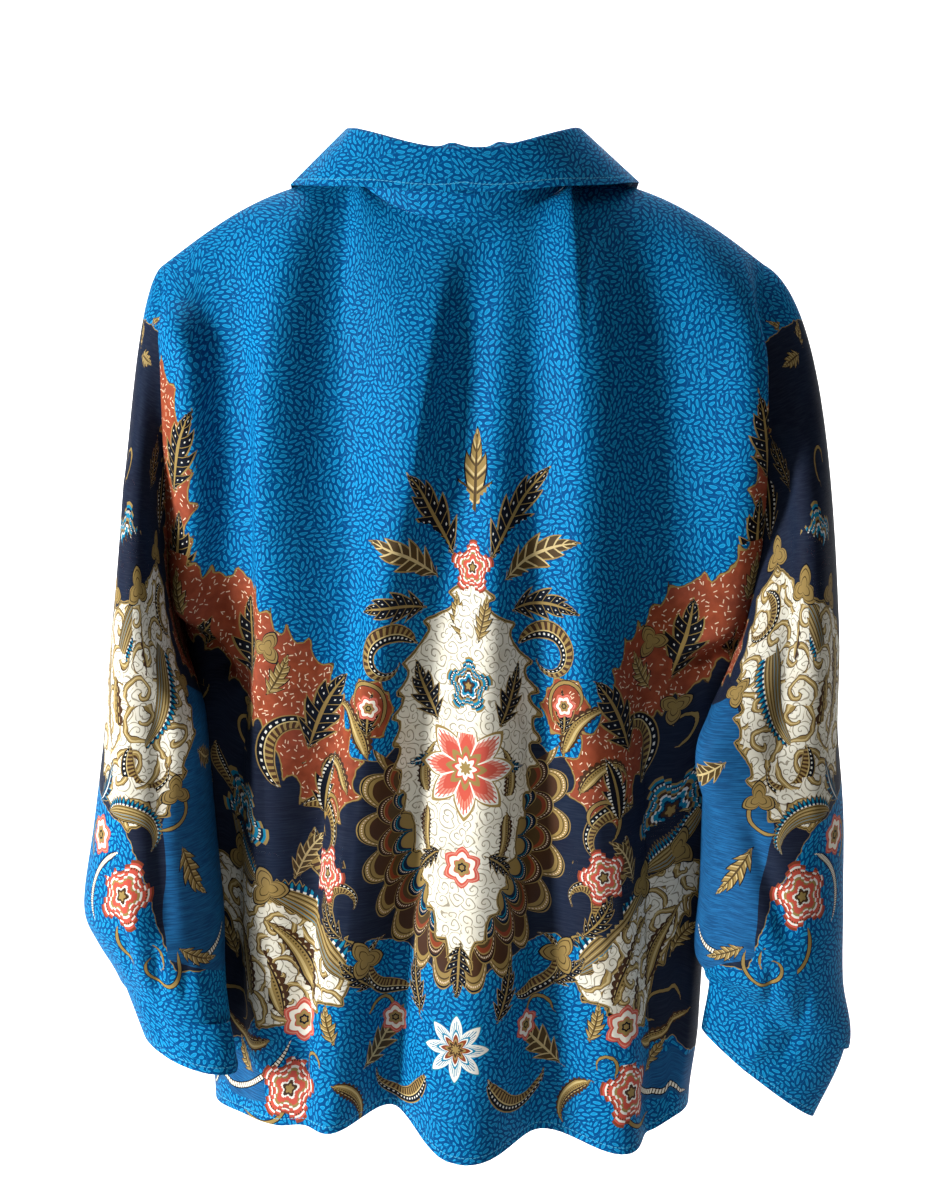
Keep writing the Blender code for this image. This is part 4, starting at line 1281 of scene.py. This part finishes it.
def grain_ground(flat):
    """Rice grains: patches of cloth, each with its own heading, hold rows of pointed ovals, and thin
    stems run where the patches meet."""
    warped = flat + (flat.noise(0.06, 1.0) - 0.5) * 5.0
    patches = warped / PATCH
    edge = patches.cells(0, feature="DISTANCE_TO_EDGE")
    local = warped - patches.cells("Position") * PATCH
    along, across = local.along_and_across(patches.cells("Color").x() * TAU)
    row = across / GRAIN_ROW
    place = along / GRAIN_STEP + row.whole() * 0.5 + 0.25
    off_along = (place.part() - 0.5).size() * 2.0
    off_across = (row.part() - 0.5).size() * 2.0
    lens = (1.0 - (off_along / 0.80) ** 2.2 - (off_across / 0.66) ** 1.5) * edge.ramp(0.02, 0.08)
    return flat.paint(
        (1.0, BLUE_GROUND),
        (lens.ramp(0.0, 0.16), BLUE_GRAIN_RIM),
        (lens.ramp(0.30, 0.60), BLUE_GRAIN),
        (edge.under(0.016) * 0.5, BLUE_GRAIN),
    )


def rust_ground(flat):
    """Brick red with sparse short pale dashes in every direction."""
    places = flat / DASH_CELL
    mark = places.cells("Color")
    local = flat - places.cells("Position") * DASH_CELL
    along, across = local.along_and_across(mark.x() * TAU)
    dash = along.size().under(DASH_HALF_LENGTH) * across.size().under(DASH_HALF_WIDTH)
    return flat.paint(
        (1.0, RUST_GROUND),
        (flat.noise(0.12, 2.0).ramp(0.3, 0.7), RUST_LIGHT),
        (dash * mark.y().over(0.45), DASH_WHITE),
    )


def curls(flat, size, turns, thick):
    """A spiral line round each of many scattered points: how far into the line, over 0 inside it."""
    places = (flat + (flat.noise(0.09, 1.0) - 0.5) * 6.0) / size
    local = places - places.cells("Position", 0.8)
    a, b = local.x(), local.y()
    out = (a * a + b * b).root()
    return thick - ((out * turns - b.angle_over(a) / TAU).part() - 0.5).size()


def cream_ground(flat, bold):
    """Cream with fine grey-brown curls, and broad dark and gold ones where bold."""
    fine, broad = curls(flat, 11.0, 2.6, 0.11), curls(flat, 27.0, 1.9, 0.17)
    return flat.paint(
        (1.0, CREAM_GROUND),
        (flat.noise(0.05, 2.0).ramp(0.45, 0.75) * 0.4, CREAM_SHADE),
        (fine.over(0.0) * 0.75, CREAM_LINE),
        (broad.over(0.0) * bold, BROWN),
        (broad.over(0.045) * bold, GOLD),
        (broad.over(0.130) * bold, BRIGHT_GOLD),
    )


PetalRing = namedtuple("PetalRing", "reach tip count shift colours")
PETAL_RINGS = (
    PetalRing(1.00, 0.20, 22.0, 0.0, "gkgdgb"),
    PetalRing(0.84, 0.16, 22.0, 0.5, "gkbgrd"),
    PetalRing(0.70, 0.13, 26.0, 0.0, "gkntng"),
)
PETAL_DEPTHS = (0.0, 0.010, 0.022, 0.062, 0.072, 0.105)


def paint_petals(colour, flat):
    """Three rings of broad lotus petals round the middle medallion, drawn in an oval's angle and radius:
    a petal's edge falls off with the power of the angle from its middle, and lines follow it inside."""
    a, b = flat.x() / 98.0, (flat.y() + 140.0) / 126.0
    out = (a * a + b * b).root()
    turn = a.angle_over(b * -1.0)
    lower = turn.size().under(2.10)
    for ring in PETAL_RINGS:
        beside = ((turn * (ring.count / TAU) + ring.shift).part() - 0.5).size() * 2.0
        edge = ring.reach - out - beside**2.4 * ring.tip
        for depth, letter in zip(PETAL_DEPTHS, ring.colours):
            inside = lower * edge.over(depth) * beside.under(1.0 - depth * 1.6)
            colour = colour.paint((inside, PALETTE[letter]))
        beads = lower * edge.near(0.042, 0.006) * (turn * 60.0).part().under(0.5)
        colour = colour.paint((beads * beside.under(0.9), DASH_WHITE))
    return colour


def whole_kind(kind):
    """1 where the kind is a whole number over 0: inside one motif, and not between two."""
    return (kind - (kind + 0.5).whole()).size().under(0.004) * kind.over(0.5)


def paint_frond(colour, frond):
    """Feathers: a gold body lined along, with a comb of dark blue barbs on its outer side, each ending
    in a pale dot. Moons: gold bands with a dark scalloped inner side. Ribbed: brown, ribbed across."""
    along, aside, kind = frond.x(), frond.y(), frond.z()
    whole = whole_kind(kind) * along.between(0.002, 0.990)
    feather = kind.under(1.5) * whole
    moon = kind.between(1.5, 2.5) * whole
    ribbed = kind.over(2.5) * whole

    comb = (along * 24.0 - aside * 0.55).part()
    off_barb = (comb - 0.5).size()
    barb = (1.30 - off_barb * 0.9).most(0.35)
    body = feather * aside.between(-1.0, 0.4)
    stripes = (aside * 3.4 + 0.2).part()
    colour = colour.paint(
        (feather * aside.between(-1.08, 0.5), BLACK),
        (feather * aside.over(0.3) * aside.under(barb + 0.06), GOLD),
        (feather * aside.over(0.3) * aside.under(barb - 0.07), DARK_BLUE),
        (feather * aside.over(0.5) * aside.under(barb - 0.22) * off_barb.under(0.2), TEAL),
        (feather * off_barb.under(0.26) * aside.near(0.46, 0.07), WHITE),
        (body, GOLD),
        (body * stripes.under(0.30), GOLD_DARK),
        (body * stripes.between(0.55, 0.72) * aside.under(-0.2), TEAL),
        (body * stripes.between(0.55, 0.68) * aside.over(-0.2), DULL_GOLD),
    )

    scallop = (along * 13.0 * math.pi).sine().size()
    hatch = (along * 26.0).part().under(0.5)
    colour = colour.paint(
        (moon * (aside - scallop * 0.34).between(-1.5, 0.74), BROWN),
        (moon * aside.between(-1.06, 0.30), BLACK),
        (moon * aside.between(-0.94, 0.18), GOLD),
        (moon * aside.between(-0.72, -0.44) * along.between(0.06, 0.85), PALE_GOLD),
        (moon * aside.between(-0.16, 0.02) * hatch, GOLD_DARK),
        (moon * aside.near(0.44, 0.06) * scallop.over(0.6), PALE_GOLD),
    )

    ribs = (along * 22.0 + aside * 0.3).part()
    return colour.paint(
        (ribbed * aside.size().under(1.10), GOLD),
        (ribbed * aside.size().under(0.94), BLACK),
        (ribbed * aside.between(-0.06, 0.86), BROWN),
        (ribbed * aside.between(-0.06, 0.86) * ribs.under(0.48), GOLD),
        (ribbed * aside.between(-0.20, -0.04), PALE_GOLD),
        (ribbed * (aside + 0.52).size().under(0.12) * ribs.under(0.40), WHITE),
    )


def paint_scroll(colour, scroll):
    """Thin curling lines with dark edges, gold or cream, the cream ones beaded."""
    along, aside, kind = scroll.x(), scroll.y(), scroll.z()
    inside = whole_kind(kind) * aside.size().under(1.0) * along.between(0.001, 0.999)
    inner = inside * aside.size().under(0.66)
    beads = inner * (along * 40.0).part().under(0.35) * kind.over(1.5)
    return colour.paint((inside, BLACK), (inner, kind.by_kind("gm")), (beads, GOLD_DARK))


def paint_leaf(colour, leaf):
    """Toothed leaves: outline, fill, a middle rib, side veins and pale dots between them."""
    along, aside, kind = leaf.x(), leaf.y(), leaf.z()
    whole = whole_kind(kind)
    beside = aside.size()
    teeth = (along * 4.2 - beside * 0.45 + 0.15).part() * 0.54
    shape = beside - teeth
    inside = whole * shape.under(0.56) * along.between(0.004, 0.992)
    fill = whole * shape.under(0.44) * along.between(0.02, 0.975)
    slant = (along * 8.4 - beside * 1.1).part()
    fine = kind.number_by_kind(0.040, 0.10, 0.10, 0.08, 0.10)
    vein = fill * ((slant - 0.5).size() - fine).under(0.0) * beside.over(0.10)
    rib = whole * beside.under(0.09) * along.between(0.0, 0.93)
    rows = beside.near(0.36, 0.045).most(beside.near(0.66, 0.035))
    dot = fill * (slant + 0.5).part().near(0.5, 0.075) * rows * kind.under(1.5)
    beads = fill * beside.near(0.56, 0.11) * (along * 18.0).part().under(0.5)
    return colour.paint(
        (inside, kind.by_kind("gkggg")),
        (fill, kind.by_kind("kgdkn")),
        (vein, kind.by_kind("gdlkt")),
        (fill * slant.near(0.78, 0.10) * kind.between(1.5, 2.5), BRIGHT_GOLD),
        (rib, kind.by_kind("gdlgw")),
        (dot, WHITE),
        (beads * kind.between(3.5, 4.5), WHITE),
    )


# A flower's rings from its edge inwards, each with a colour for each kind of flower
FLOWER_RINGS = (
    (1.02, "ggrctk"), (0.94, "wtcpwg"), (0.87, "wnwcwg"), (0.81, "pwccwd"),
    (0.75, "ptcmwg"), (0.64, "cgwmwg"), (0.57, "cbgmtg"), (0.49, "cwccwd"),
    (0.43, "gtcgrg"), (0.31, "cnwggg"), (0.24, "mbbkbg"), (0.14, "gggggg"),
)


def paint_flower(colour, flower):
    """Star flowers: pointed petals, drawn in rings that follow the petals' outer line, some dotted."""
    x, y, kind = flower.x(), flower.y(), flower.z()
    whole = whole_kind(kind)
    out = (x * x + y * y).root()
    turn = y.angle_over(x)
    petals = kind.number_by_kind(8.0, 5.0, 5.0, 6.0, 8.0, 3.0)
    point = ((turn / TAU * petals + 0.5).part() - 0.5).size() * 2.0
    stepped = kind.number_by_kind(0.0, 0.75, 0.75, 0.0, 0.0, 0.0)
    steps = ((point * 3.0).whole() + 0.4) / 3.0
    point = point * (1.0 - stepped) + steps * stepped
    depth = kind.number_by_kind(0.40, 0.46, 0.44, 0.26, 0.52, 0.62)
    ring = out / (1.0 - depth * point**1.15)
    for limit, colours in FLOWER_RINGS:
        colour = colour.paint((whole * ring.under(limit), kind.by_kind(colours)))
    hatch = (turn * 36.0 / math.pi).part().under(0.42) * (out / ring)
    drawn = ring.between(0.50, 0.90) * kind.under(1.5) + ring.between(0.57, 0.80) * kind.between(4.5, 5.5)
    dotted = (turn * 30.0 / math.pi).part().under(0.5) * ring.between(0.75, 0.81) * kind.between(1.5, 3.5)
    gap = whole * kind.under(1.5) * point.over(0.90) * ring.between(0.43, 0.94)
    return colour.paint(
        (whole * drawn * hatch, kind.by_kind("ctcctg")),
        (whole * dotted, GOLD_DARK),
        (gap, CREAM_GROUND),
    )


def new_material(name):
    """A material with its node tree and its surface shader."""
    material = bpy.data.materials.new(name)
    material.use_nodes = True
    return material, material.node_tree, material.node_tree.nodes["Principled BSDF"]


def cloth_material(name, petals):
    """Printed cotton: the print in flat places, a fine weave, top-stitching, and a paler inside."""
    material, tree, shader = new_material(name)
    start = Value(tree, None)
    flat = start.node("ShaderNodeUVMap", 0, {"uv_map": "flat"}) * MM

    def field(attribute):
        return start.node("ShaderNodeAttribute", "Vector", {"attribute_name": attribute})

    ground, extra, edge = field("ground"), field("extra"), field("edge")
    wobble = (flat.noise(0.12, 1.0) - 0.5) * 0.35
    navy, rust, cream = ground.x() + wobble, ground.y() + wobble * 0.6, ground.z() + wobble * 0.5
    streaks = together(flat.x() * 0.05, flat.y() * 0.9).noise(1.0, 3.0, 0.65)
    brushed = flat.paint((1.0, NAVY_GROUND), (streaks.ramp(0.40, 0.72), NAVY_STREAK))
    wash = flat.paint((1.0, WASH_GROUND), (streaks.ramp(0.38, 0.66), WASH_BLUE))
    colour = grain_ground(flat * 0.88).paint(
        (navy.under(0.07), GOLD),
        (navy.under(0.0), brushed),
        (extra.x().under(0.0), wash),
        (rust.under(0.13), GOLD_DARK),
        (rust.under(0.09), GOLD),
        (rust.under(0.0), rust_ground(flat)),
    )
    colour = paint_petals(colour, flat) if petals else colour
    colour = colour.paint(
        (cream.under(0.24), GOLD),
        (cream.under(0.15), BLACK),
        (cream.under(0.10), GOLD),
        (cream.under(0.0), cream_ground(flat, extra.z().over(0.99))),
    )
    colour = paint_frond(colour, field("frond"))
    colour = paint_scroll(colour, field("scroll"))
    colour = paint_leaf(colour, field("leaf"))
    colour = paint_flower(colour, field("flower"))

    distance, run = edge.x(), edge.y()
    stitch = distance.near(STITCH_IN, STITCH_HALF_WIDTH) * (run / STITCH_STEP).part().under(0.62)
    colour = colour.paint(
        (stitch, THREAD),
        (flat.noise(0.02, 3.0).ramp(0.3, 0.8) * 0.12, FADED),
        (extra.y().over(0.5) * 0.35, INSIDE),
    )
    threads = (flat.x() * (TAU / WEAVE)).sine() * (flat.y() * (TAU / WEAVE)).sine()
    slubs = together(flat.x() * 0.4, flat.y() * 3.0).noise(1.0, 2.0)
    sunk = (distance - STITCH_IN).size().ramp(1.2, 0.0) * 1.5
    height = threads * 0.03 + slubs * 0.10 - sunk * 0.12
    bump = height.node("ShaderNodeBump", 0, None, Strength=0.45, Distance=0.001, Height=height)
    surface = {"Base Color": colour, "Normal": bump, "Roughness": slubs * 0.12 + 0.52}
    for socket, given in surface.items():
        start.feed(shader.inputs[socket], given)
    shader.inputs["Specular IOR Level"].default_value = 0.02
    return material


def button_material():
    """Dark blue moulded plastic with a faint cloudy depth and a soft polish."""
    material, tree, shader = new_material("button plastic")
    place = Value(tree, None).node("ShaderNodeTexCoord", "Object")
    cloud = place.node("ShaderNodeTexNoise", 0, None, Vector=place, Scale=260.0, Detail=3.0)
    colour = place.paint((1.0, rgb(0.006, 0.030, 0.075)), (cloud.ramp(0.4, 0.7), rgb(0.012, 0.060, 0.130)))
    place.feed(shader.inputs["Base Color"], colour)
    place.feed(shader.inputs["Roughness"], cloud * 0.15 + 0.2)
    return material


# ---------------------------------------------------------------- the shirt

panels = shirt_panels()
first_normals = shared_normals(panels)
for name, panel in panels.items():
    out = first_normals[name]
    move = out * crease_moves(name, panel.grid, out)[..., None]
    panels[name] = panel._replace(grid=panel.grid + move + side_moves(name, panel.grid, out))
normals = shared_normals(panels)

# Each piece's cut: flat width and length, flat area, how it is held, what it hangs from, and what is on it
Cut = namedtuple("Cut", "width length area held rests_on buttons")
cloth = cloth_material("batik cloth", petals=True)
sleeve_cloth = cloth_material("batik sleeve cloth", petals=False)
scene = bpy.context.scene
for name, panel in panels.items():
    body = name == "back" or name.startswith("front")
    mesh = cloth_mesh(name, panel, normals[name], print_fields(name, panel.grid))
    mesh.materials.append(cloth if body else sleeve_cloth)
    piece = bpy.data.objects.new(f"cloth_{name}", mesh)
    scene.collection.objects.link(piece)
    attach(piece, "root")
    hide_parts(name)

plastic = button_material()
for item in list(bpy.data.objects):
    if item.name.startswith("button_") and item.type == "MESH":
        for slot in item.material_slots:
            slot.material = plastic

# ---------------------------------------------------------------- floor, light and camera

FLOOR_Z = cad_low[2] - 0.35
FLOOR_HALF = 5.0
# The floor's run back from the camera, and its rise at the end: (y, height)
SWEEP = ((3.2, 0.0), (-2.0, 0.0), (-2.6, 0.05), (-3.1, 0.22), (-3.4, 0.52), (-3.55, 0.95), (-3.6, 3.5))
floor_points = [(x, y, FLOOR_Z + up) for y, up in SWEEP for x in (-FLOOR_HALF, FLOOR_HALF)]
floor_faces = [(2 * i, 2 * i + 2, 2 * i + 3, 2 * i + 1) for i in range(len(SWEEP) - 1)]
floor_mesh = bpy.data.meshes.new("studio floor")
floor_mesh.from_pydata(floor_points, [], floor_faces)
floor_mesh.update()
floor_mesh.shade_smooth()
floor = bpy.data.objects.new("studio_floor", floor_mesh)
scene.collection.objects.link(floor)
paper, _, paper_shader = new_material("pale paper")
paper_shader.inputs["Base Color"].default_value = rgb(0.92, 0.92, 0.92)
paper_shader.inputs["Roughness"].default_value = 0.9
floor_mesh.materials.append(paper)

world = bpy.data.worlds.new("studio")
world.use_nodes = True
sky = world.node_tree.nodes["Background"]
sky.inputs["Color"].default_value = rgb(1, 1, 1)
sky.inputs["Strength"].default_value = 0.045
scene.world = world
scene.view_settings.view_transform = "Standard"


def turned_to(direction):
    """The turn that points a lamp or a camera in a direction."""
    return direction.to_track_quat("-Z", "Y").to_euler()


MIDDLE, BACKDROP = Vector((0.0, 0.0, -0.33)), Vector((0.0, -3.0, 0.2))
Lamp = namedtuple("Lamp", "name place size power aim")
LAMPS = [
    Lamp("key from the left", (2.15, 1.24, 0.02), 0.5, 150.0, MIDDLE),
    Lamp("fill from the right", (-1.6, 2.8, 0.4), 1.8, 4.0, MIDDLE),
    Lamp("soft light from above", (-0.5, 0.9, 1.6), 1.2, 8.0, MIDDLE),
    Lamp("backdrop light", (0.0, -1.7, 2.2), 2.6, 260.0, BACKDROP),
]
for lamp in LAMPS:
    data = bpy.data.lights.new(lamp.name, "AREA")
    data.shape = "SQUARE"
    data.size = lamp.size
    data.energy = lamp.power
    item = bpy.data.objects.new(lamp.name, data)
    item.location = lamp.place
    item.rotation_euler = turned_to(lamp.aim - item.location)
    scene.collection.objects.link(item)

CAMERA_TARGET = Vector((-0.0087, 0.03, -0.3185))
CAMERA_DISTANCE = 2.153
CAMERA_ELEVATION = math.radians(13)
camera_data = bpy.data.cameras.new("camera")
camera_data.lens = 85
camera_data.sensor_width = 36
camera = bpy.data.objects.new("camera", camera_data)
away = Vector((0, math.cos(CAMERA_ELEVATION), math.sin(CAMERA_ELEVATION)))
camera.location = CAMERA_TARGET + away * CAMERA_DISTANCE
camera.rotation_euler = turned_to(-away)
scene.collection.objects.link(camera)
scene.camera = camera
